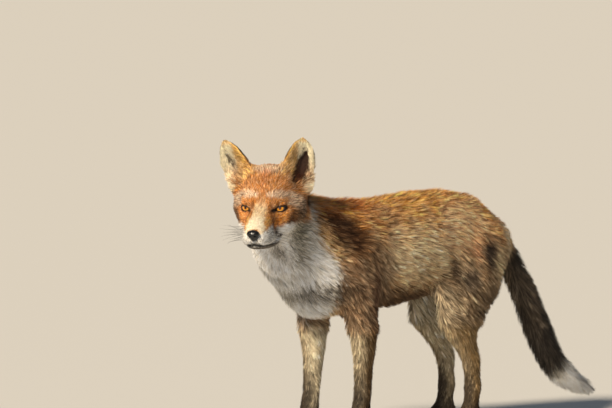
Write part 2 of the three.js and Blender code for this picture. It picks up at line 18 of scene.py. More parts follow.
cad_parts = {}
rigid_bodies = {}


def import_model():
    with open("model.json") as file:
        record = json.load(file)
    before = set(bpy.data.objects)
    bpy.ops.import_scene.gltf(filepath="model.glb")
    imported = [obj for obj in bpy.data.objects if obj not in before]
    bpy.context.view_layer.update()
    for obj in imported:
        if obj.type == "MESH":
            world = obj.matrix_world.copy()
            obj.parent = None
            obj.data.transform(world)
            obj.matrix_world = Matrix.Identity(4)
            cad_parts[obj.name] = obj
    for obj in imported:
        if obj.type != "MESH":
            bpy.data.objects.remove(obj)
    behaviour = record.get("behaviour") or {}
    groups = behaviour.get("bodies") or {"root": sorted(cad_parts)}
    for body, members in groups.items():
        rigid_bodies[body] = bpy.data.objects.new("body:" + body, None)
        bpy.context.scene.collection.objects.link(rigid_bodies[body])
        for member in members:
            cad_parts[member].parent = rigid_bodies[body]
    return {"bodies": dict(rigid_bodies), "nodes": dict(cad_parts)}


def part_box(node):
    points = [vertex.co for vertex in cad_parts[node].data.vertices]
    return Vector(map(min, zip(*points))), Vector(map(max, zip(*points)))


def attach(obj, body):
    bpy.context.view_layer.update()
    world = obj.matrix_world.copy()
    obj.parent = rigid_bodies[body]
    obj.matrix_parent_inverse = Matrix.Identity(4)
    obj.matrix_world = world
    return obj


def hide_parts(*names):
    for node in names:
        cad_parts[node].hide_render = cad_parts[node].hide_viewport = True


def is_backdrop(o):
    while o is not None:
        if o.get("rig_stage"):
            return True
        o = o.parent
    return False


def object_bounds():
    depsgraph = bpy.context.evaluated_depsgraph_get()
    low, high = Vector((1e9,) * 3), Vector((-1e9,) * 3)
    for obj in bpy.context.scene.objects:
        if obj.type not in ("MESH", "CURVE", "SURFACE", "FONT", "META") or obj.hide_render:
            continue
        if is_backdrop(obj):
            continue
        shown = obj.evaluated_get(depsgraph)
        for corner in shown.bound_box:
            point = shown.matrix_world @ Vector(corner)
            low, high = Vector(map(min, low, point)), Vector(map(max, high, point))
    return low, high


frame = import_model()
cad_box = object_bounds()
MM = 0.001
SIDES = {"left": 1, "right": -1}
ROOT = list(frame["bodies"])[0]
print("The frame has", len(frame["nodes"]), "nodes, and its body is", ROOT)


def corners(node):
    """The lowest and highest corner of a node, in millimetres."""
    return [np.array(corner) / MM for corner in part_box(node)]


def spot(node, across, along, up):
    """A place in a node's box, in millimetres, from the share of the way along X, Y and Z."""
    low, high = corners(node)
    return low + (high - low) * (across, along, up)


# %% [markdown]
# The head is turned, so its parts are placed in a frame of its own: X towards the fox's left eye, Y
# back, Z up, with its origin between the eyes. The nose lies 11 degrees below the level of that frame.

# %% The head's own frame
NOSE_DROP = math.atan2(17, 89)
eye_place = {side: spot(f"eye_{side}", 0.5, 0.5, 0.5) for side in SIDES}
nose_place = spot("nose", 0.5, 0.5, 0.5)
between_eyes = (eye_place["left"] + eye_place["right"]) / 2


def unit(v):
    return v / np.linalg.norm(v, axis=-1, keepdims=True).clip(1e-9)


head_x = unit(eye_place["left"] - eye_place["right"])
towards_nose = nose_place - between_eyes
towards_nose = unit(towards_nose - towards_nose.dot(head_x) * head_x)
underside = np.cross(head_x, towards_nose)
head_z = -math.sin(NOSE_DROP) * towards_nose - math.cos(NOSE_DROP) * underside
head_y = np.cross(head_z, head_x)
head_axes = np.array([head_x, head_y, head_z])
print("The head looks along", (-head_y).round(2))


def in_head(points):
    """Millimetres in the row frame to millimetres in the head's frame."""
    return (points - between_eyes) @ head_axes.T


def from_head(*point):
    return between_eyes + np.array(point) @ head_axes


# %% [markdown]
# ## Shaders
# Every material below is built by one helper, which adds a node, sets it and links its inputs.

# %% Shader helpers
def linear(hex_colour):
    """An sRGB hex colour as linear red, green and blue."""
    share = np.array([int(hex_colour[i : i + 2], 16) for i in (1, 3, 5)]) / 255
    return np.where(share <= 0.04045, share / 12.92, ((share + 0.055) / 1.055) ** 2.4)


def rgba(hex_colour):
    return (*linear(hex_colour), 1.0)


def new_material(name):
    material = bpy.data.materials.new(name)
    material.use_nodes = True
    material.node_tree.nodes.clear()
    return material


def add(material, kind, inputs=(), **settings):
    """Adds one shader node. Inputs hold a value or another node's output."""
    node = material.node_tree.nodes.new("ShaderNode" + kind)
    for name, value in settings.items():
        setattr(node, name, value)
    for name, value in dict(inputs).items():
        if isinstance(value, bpy.types.NodeSocket):
            material.node_tree.links.new(value, node.inputs[name])
        else:
            node.inputs[name].default_value = value
    return node


def surface(material, inputs):
    """Ends a material with a Principled shader."""
    shader = add(material, "BsdfPrincipled", inputs)
    add(material, "OutputMaterial", {"Surface": shader.outputs[0]})
    return material


# %% [markdown]
# Guard hair is a clear keratin tube over a pigmented core: soft, with a low broad shine along its
# length. Each tuft carries its own colour from root to tip in an attribute, so the shader only reads
# it. Underfur is the felt below: the same colours, darker, with a fine streaked bump.

# %% Fur materials
guard_hair = new_material("Guard hair, keratin")
hair_colour = add(guard_hair, "Attribute", attribute_name="coat")
surface(
    guard_hair,
    {
        "Base Color": hair_colour.outputs["Color"],
        "Roughness": 0.7,
        "Specular IOR Level": 0.12,
        "Sheen Weight": 0.03,
        "Sheen Roughness": 0.5,
    },
)

underfur = new_material("Underfur, felted wool")
felt_colour = add(underfur, "Attribute", attribute_name="coat")
felt_place = add(underfur, "TexCoord")
HAIR_LOCK = 3.0 * MM  # width of a lock of underfur
felt_noise = add(
    underfur,
    "TexNoise",
    {"Vector": felt_place.outputs["Object"], "Scale": 1 / HAIR_LOCK, "Detail": 3.0},
)
felt_shade = add(
    underfur,
    "MapRange",
    {"Value": felt_noise.outputs["Fac"], "From Min": 0.3, "From Max": 0.7, "To Min": 0.72, "To Max": 1.12},
)
felt_mix = add(underfur, "VectorMath", operation="SCALE")
underfur.node_tree.links.new(felt_colour.outputs["Color"], felt_mix.inputs[0])
underfur.node_tree.links.new(felt_shade.outputs["Result"], felt_mix.inputs["Scale"])
felt_bump = add(
    underfur,
    "Bump",
    {"Height": felt_noise.outputs["Fac"], "Strength": 0.6, "Distance": 0.8 * MM},
)
surface(
    underfur,
    {
        "Base Color": felt_mix.outputs["Vector"],
        "Normal": felt_bump.outputs["Normal"],
        "Roughness": 0.85,
        "Specular IOR Level": 0.15,
    },
)

# %% [markdown]
# ## The skin
# An animal has one skin with no seams. It could be sculpted, or the solids could be joined by a
# Boolean, which leaves creases. Here the solids of flesh are copied, merged, swelled by half a
# millimetre so that the thin cuts between them close, and remeshed to one closed form, which keeps
# their measure. The eyeballs are in it too, so that the skin runs over them until the lids are cut.

# %% Names, selection and copies
LEGS = [(end, side) for end in ("fore", "hind") for side in SIDES]
FLESH = ["head", "lower_jaw", "neck", "trunk", "tail", "tail_tip"]
FLESH += [f"ear_{side}" for side in SIDES]
for side in SIDES:
    FLESH += [f"{name}_{side}" for name in ("upper_fore", "forearm", "forepaw", "thigh", "shank", "hindpaw")]


def deselect():
    if bpy.context.object and bpy.context.object.mode != "OBJECT":
        bpy.ops.object.mode_set(mode="OBJECT")
    bpy.ops.object.select_all(action="DESELECT")


def choose(*objects):
    deselect()
    for o in objects:
        o.select_set(True)
    bpy.context.view_layer.objects.active = objects[0]


def apply(o, kind, **settings):
    """Adds a modifier with its settings and applies it."""
    choose(o)
    modifier = o.modifiers.new(kind.title(), kind)
    for name, value in settings.items():
        setattr(modifier, name, value)
    bpy.ops.object.modifier_apply(modifier=modifier.name)


def copied(name, nodes, swell):
    """One object with merged copies of the nodes, each swelled by so many millimetres."""
    choose(*[frame["nodes"][node] for node in nodes])
    bpy.ops.object.duplicate()
    copies = list(bpy.context.selected_objects)
    for o in copies:
        o.parent = None
        o.data.materials.clear()
        for key in [key for key in o.keys() if key.startswith("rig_")]:
            del o[key]
    choose(*copies)
    bpy.ops.object.mode_set(mode="EDIT")
    bpy.ops.mesh.select_all(action="SELECT")
    bpy.ops.mesh.remove_doubles(threshold=0.01 * MM)
    bpy.ops.transform.shrink_fatten(value=swell * MM)
    bpy.ops.object.mode_set(mode="OBJECT")
    if len(copies) > 1:
        bpy.ops.object.join()
    made = bpy.context.object
    made.name = made.data.name = name
    return made


# %% [markdown]
# A skin has a hundred thousand vertices, so they are read, moved and written as whole arrays, in
# millimetres. The same arrays give the normals, and a mean over each vertex's neighbours, which
# smooths a shape or softens the border between two regions.

# %% Meshes as arrays
def points_of(mesh):
    flat = np.empty(len(mesh.vertices) * 3, np.float32)
    mesh.vertices.foreach_get("co", flat)
    return flat.reshape(-1, 3).astype(float) / MM


def triangles_of(mesh):
    mesh.calc_loop_triangles()
    flat = np.empty(len(mesh.loop_triangles) * 3, np.int32)
    mesh.loop_triangles.foreach_get("vertices", flat)
    return flat.reshape(-1, 3)


def edges_of(mesh):
    flat = np.empty(len(mesh.edges) * 2, np.int32)
    mesh.edges.foreach_get("vertices", flat)
    return flat.reshape(-1, 2)


def put_points(mesh, points):
    mesh.vertices.foreach_set("co", (points * MM).astype(np.float32).ravel())
    mesh.update()


def normals_of(points, triangles):
    a, b, c = (points[triangles[:, i]] for i in range(3))
    facing = np.cross(b - a, c - a)
    total = np.zeros_like(points)
    for i in range(3):
        for axis in range(3):
            total[:, axis] += np.bincount(triangles[:, i], facing[:, axis], len(points))
    return unit(total)


# %% Averages and ramps
class Neighbours:
    """Averages values over a mesh's edges."""

    def __init__(self, edges, count):
        both = np.concatenate([edges, edges[:, ::-1]])
        both = both[np.argsort(both[:, 0], kind="stable")]
        self.other = both[:, 1]
        self.number = np.bincount(both[:, 0], minlength=count)
        self.start = np.concatenate([[0], np.cumsum(self.number)[:-1]])

    def smooth(self, values, rounds, share=0.5):
        for _ in range(rounds):
            mean = np.add.reduceat(values[self.other], self.start, axis=0) / self.number[:, None]
            values = values + share * (mean - values)
        return values


def ramp(value, start, end):
    """Goes smoothly from 0 at start to 1 at end."""
    t = ((value - start) / (end - start)).clip(0, 1)
    return t * t * (3 - 2 * t)


# %% Remesh the flesh
SKIN_CELL = 3.4 * MM
SWELL = 0.5  # more than half the width of the cuts between the solids
skin = copied("skin", FLESH + [f"eye_{side}" for side in SIDES], SWELL)
apply(skin, "REMESH", mode="VOXEL", voxel_size=SKIN_CELL)
print("The remeshed flesh has", len(skin.data.polygons), "faces")


# %% [markdown]
# The face needs a finer mesh than the body, and the lids a finer one still. A fine remesh of the whole
# body would be slow and heavy, so faces are chosen by their distance to a place on the head and
# subdivided, step by step. A little smoothing then takes the remesh's steps away.

# %% Refine the head
def refine(o, chosen):
    """Subdivides once all faces whose middles the test picks."""
    mesh = o.data
    flat = np.empty(len(mesh.polygons) * 3, np.float32)
    mesh.polygons.foreach_get("center", flat)
    picked = chosen(flat.reshape(-1, 3) / MM)
    choose(o)
    bpy.ops.object.mode_set(mode="EDIT")
    bpy.ops.mesh.select_all(action="DESELECT")
    bpy.ops.object.mode_set(mode="OBJECT")
    mesh.polygons.foreach_set("select", picked)
    bpy.ops.object.mode_set(mode="EDIT")
    bpy.ops.mesh.subdivide(number_cuts=1, smoothness=0)
    bpy.ops.object.mode_set(mode="OBJECT")


def distance(points, place):
    return np.linalg.norm(points - place, axis=1)


def to_eyes(points):
    """Distance from each point to the middle of the nearer eye."""
    return np.minimum(distance(points, eye_place["left"]), distance(points, eye_place["right"]))


middle_of_face = from_head(0, -25, -8)
middle_of_muzzle = from_head(0, -55, -16)
refine(skin, lambda p: distance(p, middle_of_face) < 72)
refine(skin, lambda p: (to_eyes(p) < 22) | (distance(p, middle_of_muzzle) < 40))
refine(skin, lambda p: to_eyes(p) < 16)
for _ in range(2):
    apply(skin, "SMOOTH", factor=0.5, iterations=2)
print("The refined skin has", len(skin.data.polygons), "faces")

# %% [markdown]
# Each vertex remembers which node it lies on. The memberships are then blurred over the surface, so
# that whatever depends on them, such as the depth of the coat, changes without a step.

# %% Blend the regions
node_points, node_triangles, node_of_triangle = [], [], []
first = 0
for number, name in enumerate(FLESH):
    mesh = frame["nodes"][name].data
    points, triangles = points_of(mesh), triangles_of(mesh)
    node_points.append(points)
    node_triangles.append(triangles + first)
    node_of_triangle.append(np.full(len(triangles), number))
    first += len(points)
node_of_triangle = np.concatenate(node_of_triangle)
flesh_tree = BVHTree.FromPolygons(
    np.concatenate(node_points).tolist(), np.concatenate(node_triangles).tolist()
)

outer = points_of(skin.data)
skin_triangles = triangles_of(skin.data)
skin_graph = Neighbours(edges_of(skin.data), len(outer))
nearest = np.array([flesh_tree.find_nearest(p)[2] for p in outer.tolist()])
membership = np.eye(len(FLESH))[node_of_triangle[nearest]]
membership = skin_graph.smooth(membership, 24)


def share_of(membership, *starts):
    """The share of the nodes whose names start with one of these words."""
    columns = [i for i, name in enumerate(FLESH) if name.startswith(starts)]
    return membership[:, columns].sum(1)


print("The skin is shared among", len(FLESH), "nodes")

# %% [markdown]
# ## The lie of the coat
# A fox's coat is short on the face, ears and feet and long on the ruff, back and brush. This table
# holds, for each part, how deep the coat is, how long and wide its tufts are, all in millimetres, and
# which way the hair runs in the row frame (left, back, up).

# %% The coat's table
COAT = {
    # part: depth, length, width, lie
    "head": (4.0, 11, 0.95, (0, 0, 0)),
    "lower_jaw": (2.0, 6, 0.8, (0, 0, 0)),
    "ear": (1.3, 7, 0.8, (0, 0, 0)),
    "neck": (14, 28, 1.4, (0, 0.80, -0.60)),
    "trunk": (12, 25, 1.3, (0, 0.93, -0.37)),
    "upper_fore": (9, 21, 1.2, (0, 0.50, -0.87)),
    "forearm": (3.5, 13, 1.0, (0, 0.25, -0.97)),
    "forepaw": (2.0, 8, 0.9, (0, -0.55, -0.84)),
    "thigh": (11, 24, 1.3, (0, 0.60, -0.80)),
    "shank": (4.5, 16, 1.0, (0, 0.35, -0.94)),
    "hindpaw": (2.2, 9, 0.9, (0, -0.30, -0.95)),
    "tail": (14, 32, 1.4, (0, 0.50, -0.86)),
    "tail_tip": (13, 30, 1.4, (0, 0.84, -0.54)),
}


def part_of(node):
    return node.removesuffix("_left").removesuffix("_right")


def blended(membership, column):
    """One column of the coat's table, blended over the skin."""
    return membership @ np.array([COAT[part_of(name)][column] for name in FLESH], float)


# %% [markdown]
# A narrow feature, such as the mouth, is a stroke: a line through a few points, with a width at each.
# The distance to it says how strongly the feature shows. The mouth runs from under the nose back to
# its corner below the eye, and the lips' black edge is widest in front.

# %% Strokes, and the line of the mouth
def to_stroke(points, stroke, widths=None):
    """Distance from each point to a line through the stroke's points, in shares of the line's half
    width there if widths are given."""
    stroke = np.array(stroke, float)
    widths = widths or [1.0] * len(stroke)
    best = np.full(len(points), 1e9)
    for a, b, wide_a, wide_b in zip(stroke, stroke[1:], widths, widths[1:]):
        t = (((points - a) @ (b - a)) / ((b - a) @ (b - a))).clip(0, 1)
        far = np.linalg.norm(points - a - t[:, None] * (b - a), axis=1)
        best = np.minimum(best, far / (wide_a + t * (wide_b - wide_a)))
    return best


def folded(points):
    """Points of the head's right half mirrored to its left."""
    return np.column_stack([np.abs(points[:, 0]), points[:, 1:]])


# The mouth, from the front to its corner
MOUTH = [(0, -84, -36.5), (8, -82, -37), (16, -72, -40), (19, -61, -42), (23, -47, -44.5)]
MOUTH += [(25, -33, -45), (28, -21, -43.5)]
LIP_WIDTHS = (4.6, 4.2, 3.2, 2.8, 2.8, 2.6, 2.2)  # half width of the lips' black edge along the mouth

# %% [markdown]
# The table gives one depth for the whole head, but a fox's face is close-haired and its cheeks and
# nape are full. So on the head the depth, length and width also follow the place.

# %% Depth and length of the coat
def coat_shape(points, membership):
    """Depth, length and width of the coat at each point, in millimetres."""
    depth, length, width = (blended(membership, column) for column in range(3))
    _, y, z = in_head(points).T
    on_head = share_of(membership, "head", "lower_jaw")
    full = ramp(y, 8, 75) * (0.35 + 0.65 * ramp(-z, -30, 25))
    close = ramp(-y, -5, 60)
    close = np.maximum(close, 1 - ramp(to_eyes(points), 11, 26))
    at_lips = 1 - ramp(to_stroke(folded(in_head(points)), MOUTH), 2, 9)
    head_depth = 3.0 + 8 * full - 1.6 * close
    head_length = (9.0 + 17 * full - 4.2 * close) * (1 - 0.55 * at_lips)
    head_width = 0.95 + 0.4 * full - 0.2 * close
    depth += on_head * (head_depth - depth)
    length += on_head * (head_length - length)
    width += on_head * (head_width - width)
    return depth, length, width


# %% [markdown]
# Each ear stands at its own angle, so its axes are measured from its solid: up from the middle of its
# base to its tip, outwards across it, and to its front.

# %% The ears' axes
ear_nodes = {}
for side in SIDES:
    ear = points_of(frame["nodes"][f"ear_{side}"].data)
    along = ear @ head_z
    tip = ear[along.argmax()]
    base = ear[along < np.quantile(along, 0.25)].mean(0)
    upward = unit(tip - base)
    outward = SIDES[side] * head_x
    outward = unit(outward - outward.dot(upward) * upward)
    front = np.cross(upward, outward)
    front = front if front.dot(head_y) < 0 else -front
    ear_nodes[side] = {"base": base, "tip": tip, "up": upward, "out": outward, "front": front}
    print(f"The {side} ear is {np.linalg.norm(tip - base):.0f} mm from its base's middle to its tip")


# %% [markdown]
# On the head all hair runs back from the nose, and on the cheeks it also turns down. In the ears it
# grows in from both edges, and on the hips it falls steeply.

# %% Which way the hair runs
def lie_of_coat(points, membership, normals):
    """Which way the hair runs, as a unit vector along the skin."""
    lie = membership @ np.array([COAT[part_of(name)][3] for name in FLESH], float)
    head = in_head(points)
    away = unit(points - from_head(0, -92, -17))
    cheek = ramp(np.abs(head[:, 0]), 16, 42) * ramp(head[:, 1], -30, 20)
    away = unit(away - 0.55 * cheek[:, None] * head_z)
    lie += share_of(membership, "head", "lower_jaw")[:, None] * away
    hips = share_of(membership, "trunk") * ramp(points[:, 1], 20, 110) * ramp(-normals[:, 2], -0.75, -0.2)
    lie += hips[:, None] * (np.array((0, 0.45, -0.95)) - lie)
    for side, ear in ear_nodes.items():
        out = (points - ear["base"]) @ ear["out"]
        inward = (ramp(out, -14, 14) - 0.35) * ramp(normals @ ear["front"], 0, 0.4)
        hair = ear["up"] - 1.4 * inward[:, None] * ear["out"]
        lie += share_of(membership, f"ear_{side}")[:, None] * hair
    lie -= (lie * normals).sum(1, keepdims=True) * normals
    return unit(lie)


# %% [markdown]
# The solids reach the tips of the hair, so the skin sinks by the depth of the coat. That differs from
# place to place, so the points are moved as an array. A thin wall, such as an ear's, would turn
# inside out, so there it sinks by no more than a share of the wall's own thickness.

# %% Sink the skin below the coat
THICK_ENOUGH = 40.0  # walls thicker than this are not measured
WALL_SHARE = 0.36


def wall_behind(points, normals):
    """How thick the flesh is behind each point."""
    tree = BVHTree.FromPolygons(points.tolist(), skin_triangles.tolist())
    starts = (points - 0.1 * normals).tolist()
    hits = [tree.ray_cast(start, way, THICK_ENOUGH) for start, way in zip(starts, (-normals).tolist())]
    return np.array([THICK_ENOUGH if hit[0] is None else hit[3] for hit in hits])


depth = coat_shape(outer, membership)[0]
normals = unit(skin_graph.smooth(normals_of(outer, skin_triangles), 6))
depth = np.minimum(depth, WALL_SHARE * wall_behind(outer, normals))
inner = outer - normals * depth[:, None]
inner = skin_graph.smooth(inner, 3)
print("The coat is", depth.min().round(1), "to", depth.max().round(1), "mm deep")

# %% [markdown]
# ## Lids, lips and the eyes' setting
# Lids are folds of skin that hug the eyeball. They could be separate shells, but then the coat would
# end at a seam, so they are shaped in the skin itself: near the eye it is drawn to a little over the
# ball's radius, and within the slit it drops behind the ball. A fox's slit slants up and outwards.

# %% Cut the lids
EYE_RADIUS = float(np.ptp(corners("eye_left"), axis=0).mean()) / 2
SLIT_SLANT = math.radians(2)
SLIT_HALF = 10.6  # half the slit's length
SLIT_TOP, SLIT_BOTTOM = 4.2, 3.9  # the opening above and below the slit's line
SLIT_POWER = 1.7  # 2 would make the opening an oval, and 1 a diamond
LID = 1.1  # thickness of a lid
BEHIND_BALL = 2.2  # how far the skin drops behind the ball's front within the slit


def eye_axes(side):
    """Rows: along the slit outwards, up across it, and out of the socket."""
    sign = SIDES[side]
    out = unit(np.array([0.48 * sign, -0.87, 0.05]) @ head_axes)
    along = sign * head_x - (sign * head_x).dot(out) * out
    along = unit(along)
    up = unit(np.cross(out, along) * sign)
    up = up if up.dot(head_z) > 0 else -up
    cosine, sine = math.cos(SLIT_SLANT), math.sin(SLIT_SLANT)
    return np.array([cosine * along + sine * up, cosine * up - sine * along, out])


def slit(u, v):
    """Below 1 within the lids' opening, and above 1 outside it."""
    height = np.where(v > 0, SLIT_TOP, SLIT_BOTTOM)
    return (np.abs(u) / SLIT_HALF) ** SLIT_POWER + (np.abs(v) / height) ** SLIT_POWER


for side, place in eye_place.items():
    local = (inner - place) @ eye_axes(side).T
    u, v, out = local.T
    radius = np.linalg.norm(local, axis=1)
    opening = slit(u, v)
    over_ball = EYE_RADIUS + LID + 0.8 * ramp(opening, 1.2, 3)
    lid_radius = np.where(opening < 1, EYE_RADIUS - BEHIND_BALL, over_ball)
    # The skin hugs the ball only near the slit and in front of the ball's middle.
    hug = (1 - ramp(np.sqrt(u**2 + (1.25 * v) ** 2), 9.5, 15.5)) * ramp(out, 0, 3)
    hug *= 1 - ramp(radius, 16, 22)
    local *= (1 + hug * (lid_radius / radius.clip(1) - 1))[:, None]
    inner = place + local @ eye_axes(side)
print(f"The eyes' radius is {EYE_RADIUS:.1f} mm, and their slits are {2 * SLIT_HALF:.0f} mm long")

# %% [markdown]
# The closed mouth is a groove under the overhanging upper lip, so the skin is pressed in along its
# line. Each ear has a bare hollow that leads down to its canal: it too is a stroke, and the skin
# sinks along it, but never through the ear's thin wall.

# %% Press in the mouth and the hollows of the ears
# Each hollow: its line in the head's frame, and its half width along that line.
EAR_HOLLOW = {
    "left": ([(60, 70, 68), (54, 70, 52), (49, 62, 37), (43, 42, 30)], (6, 12, 14, 8)),
    "right": ([(-71, 70, 63), (-64, 67, 50), (-56, 62, 38), (-50, 48, 30)], (4, 8, 9, 5)),
}


def to_hollow(points):
    return np.minimum(*[to_stroke(in_head(points), *EAR_HOLLOW[side]) for side in SIDES])


PRESSED = 3.0
inner_normals = normals_of(inner, skin_triangles)
to_mouth = to_stroke(folded(in_head(inner)), MOUTH)
inner -= inner_normals * (PRESSED * (1 - ramp(to_mouth, 0.8, 3.6)))[:, None]
hollow_depth = np.minimum(PRESSED, 0.5 * wall_behind(inner, inner_normals))
inner -= inner_normals * (hollow_depth * (1 - ramp(to_hollow(inner), 0.3, 1.1)))[:, None]
put_points(skin.data, inner)

# %% The skin's normals and the lie of its coat
smooth_normals = unit(skin_graph.smooth(normals_of(inner, skin_triangles), 4))
lie = lie_of_coat(inner, membership, smooth_normals)
lie = skin_graph.smooth(lie, 30)
lie = unit(lie - (lie * smooth_normals).sum(1, keepdims=True) * smooth_normals)
print("The finished skin has", len(inner), "vertices")

# %% [markdown]
# ## Markings
# A fox's markings lie in its hair, and run over from one part of the body to the next. An image could
# hold them, but it would need an unwrap, and hair and skin could disagree. So one function gives the
# colour of the coat anywhere, from the place, the way that the skin faces and the part of the body.
# It starts from a ground colour for each region and then lays strokes and patches over it.

# %% Palette
RUFOUS = linear("#d28c40")
RUST = linear("#b3581f")
OCHRE = linear("#d79c50")
BUFF = linear("#bd966c")
SAND = linear("#d9bf93")
CREAM = linear("#eedcb8")
WHITE = linear("#f1ede4")
SMOKE = linear("#5f554b")
UMBER = linear("#553720")
SOOT = linear("#2a221d")
BLACK = linear("#0e0b09")


def paint(base, colour, amount):
    return base + (colour - base) * np.asarray(amount)[:, None]


def patch(points, place, radii, edge=0.4):
    """1 inside an egg-shaped patch, falling to 0 over its soft edge."""
    far = np.linalg.norm((points - np.asarray(place)) / np.asarray(radii), axis=1)
    return 1 - ramp(far, 1 - edge, 1 + edge)


def waves(points, size, seed):
    """A soft random field about -1 to 1, with lumps of the given size in millimetres."""
    draw = np.random.default_rng(seed)
    total = np.zeros(len(points))
    for _ in range(7):
        direction = unit(draw.normal(size=3))
        turn = points @ direction * (2 * math.pi / size) * draw.uniform(0.7, 1.5)
        total += np.sin(turn + draw.uniform(0, 6.28))
    return total / 2.6


def fleck(points, size, seed, share):
    """About 1 in the given share of small flecks, and 0 between them."""
    return ramp(waves(points, size, seed), 0.9 - 1.6 * share, 1.5 - 1.6 * share)


# %% [markdown]
# A red fox is rufous above and paler on the flanks. Its two sides match, so places are folded to the
# left side. The belly is white in most red foxes; here its underside is painted dark, as painted shade under
# the body.

# %% Ground colour of the body
trunk_low, trunk_high = corners("trunk")
SPINE = (trunk_low[0] + trunk_high[0]) / 2


def beside_spine(node, *share):
    """A place in a node's box as the distance from the spine, the way along and the height."""
    return spot(node, *share) - (SPINE, 0, 0)


def body_colours(points, normals):
    x, y, z = points.T
    mirrored = np.column_stack([np.abs(x - SPINE), y, z])
    uneven = waves(points, 38, 3)
    top = ramp(normals[:, 2] + 0.15 * uneven, 0.05, 0.8)
    tone = paint(np.tile(BUFF, (len(points), 1)), RUFOUS, top)
    # The back is reddest over the withers, and browner and duller towards the rump.
    tone = paint(tone, linear("#d07a2a"), 0.6 * top * ramp(-y, 20, 140))
    tone = paint(tone, linear("#b5693a"), 0.4 * top * ramp(y, -20, 120))
    # The flank is sandy, and the hip is a pale pinkish brown.
    flank = patch(mirrored, beside_spine("trunk", 0.9, 0.52, 0.42), (60, 80, 34), 0.6)
    tone = paint(tone, SAND, 0.45 * flank)
    hip = patch(mirrored, beside_spine("trunk", 0.9, 0.72, 0.68), (50, 52, 48), 0.6)
    tone = paint(tone, linear("#cf9f78"), 0.65 * hip)
    tone = paint(tone, RUFOUS, 0.25 * ramp(uneven, 0.1, 0.9))
    # Painted shade: the downward-facing skin and the lowest part of the belly are painted dark brown.
    shaded_belly = np.maximum(ramp(-normals[:, 2], 0.35, 0.8), ramp(-z, -256, -230)) * ramp(y, -150, -110)
    tone = paint(tone, linear("#33200f"), 0.9 * shaded_belly)
    return tone, mirrored


# %% [markdown]
# The legs are buff and grizzled, paler on their inner sides, and end in the species' dark stockings.
# The brush is painted dark grey-brown: partly its own dusky colour, mostly painted shade. It darkens towards
# its lower end and its back, and its tip is white.

# %% Colours of the legs and the brush
def leg_colours(tone, points, normals, membership):
    x, _, z = points.T
    fore = share_of(membership, "forearm", "forepaw")
    hind = share_of(membership, "shank", "hindpaw")
    upper = share_of(membership, "upper_fore")
    thigh = share_of(membership, "thigh")
    front = ramp(-normals[:, 1], 0.0, 0.8)
    pale_side = np.maximum(ramp(-np.sign(x - SPINE) * normals[:, 0], -0.2, 0.6), 0.5 * front)
    tone = paint(tone, linear("#735943"), 0.85 * upper)
    tone = paint(tone, linear("#634c30"), fore)
    tone = paint(tone, CREAM, 0.7 * fore * pale_side)
    tone = paint(tone, linear("#7f684e"), 0.75 * thigh)
    tone = paint(tone, linear("#8d7048"), hind)
    tone = paint(tone, CREAM, 0.45 * (hind + thigh).clip(0, 1) * pale_side)
    # Dark stockings, which are strongest down the front of each leg.
    stocking = ramp(-z, -135, -60) * (fore + hind).clip(0, 1)
    tone = paint(tone, SOOT, 0.9 * stocking * (0.35 + 0.65 * np.maximum(front, ramp(-z, -70, -25))))
    return tone


def tail_colours(tone, points, normals, membership):
    tail = share_of(membership, "tail")
    tip = share_of(membership, "tail_tip")
    low, high = corners("tail")
    down = ((high[2] - points[:, 2]) / (high[2] - low[2])).clip(0, 1)
    # Painted shade: the brush is darkened all over, and more towards its lower end and its back.
    tone = paint(tone, linear("#5d5042"), tail)
    tone = paint(tone, linear("#38322c"), tail * ramp(down + 0.25 * normals[:, 1], 0.1, 0.7))
    return paint(tone, WHITE, tip)


# %% [markdown]
# Smaller markings are soft-edged patches, each placed in the box of the part it lies on. The list
# runs from the broad pale patches to the narrow dark ones, since a later one covers an earlier.

# %% Patches of the body
# The dark of the neck's side runs from behind the ear down to the shoulder. It is partly darker fur and
# partly the head's shadow, painted on.
NECK_SHADE = [
    beside_spine("neck", 0.86, 0.61, 0.65),
    beside_spine("neck", 0.91, 0.76, 0.57),
    beside_spine("neck", 1.00, 0.89, 0.46),
]
# Each patch: colour, amount, node, place in the node's box, and radii in millimetres.
BODY_PATCHES = [
    (linear("#cfae88"), 0.48, "trunk", (1.00, 0.46, 0.55), (40, 74, 36)),  # sandy flank
    (linear("#6f5a40"), 0.45, "trunk", (1.00, 0.30, 0.50), (40, 30, 40)),  # dusky behind the shoulder
    # The pale pinkish hip is brightened in part, as painted light.
    (linear("#edb281"), 0.80, "trunk", (0.92, 0.70, 0.70), (36, 42, 36)),  # pale hip
    (linear("#d0702a"), 0.92, "trunk", (0.72, 0.23, 0.92), (36, 66, 19)),  # rusty withers
    (RUST, 0.40, "trunk", (0.95, 0.75, 0.56), (22, 10, 30)),  # rusty edge of the hip
    (SMOKE, 0.45, "trunk", (0.83, 0.37, 0.81), (30, 46, 18)),  # smoky side of the back
    (linear("#9c7a48"), 0.70, "neck", (0.98, 0.48, 0.48), (20, 10, 36)),  # tan side of the neck
    (UMBER, 0.60, "trunk", (1.00, 0.27, 0.60), (20, 22, 30)),  # dark behind the shoulder
    (linear("#2b2521"), 0.94, "thigh_left", (0.89, 0.66, 0.80), (26, 17, 38)),  # streak down the haunch
    (linear("#453b33"), 0.80, "thigh_left", (0.89, 0.44, 0.50), (26, 20, 22)),  # duller below it
    (linear("#3a3029"), 0.80, "thigh_left", (0.79, 0.30, 0.61), (24, 12, 24)),  # a second streak
    (CREAM, 0.60, "thigh_left", (0.61, 0.93, 1.00), (26, 14, 30)),  # cream behind the thigh
    (SAND, 0.40, "thigh_left", (0.86, 0.80, 0.62), (28, 18, 28)),  # sandy outer thigh
    (linear("#4b2f20"), 0.75, "upper_fore_left", (0.91, 0.78, 0.36), (22, 14, 60)),  # upper foreleg's back
]
print("The body has", len(BODY_PATCHES), "patches")


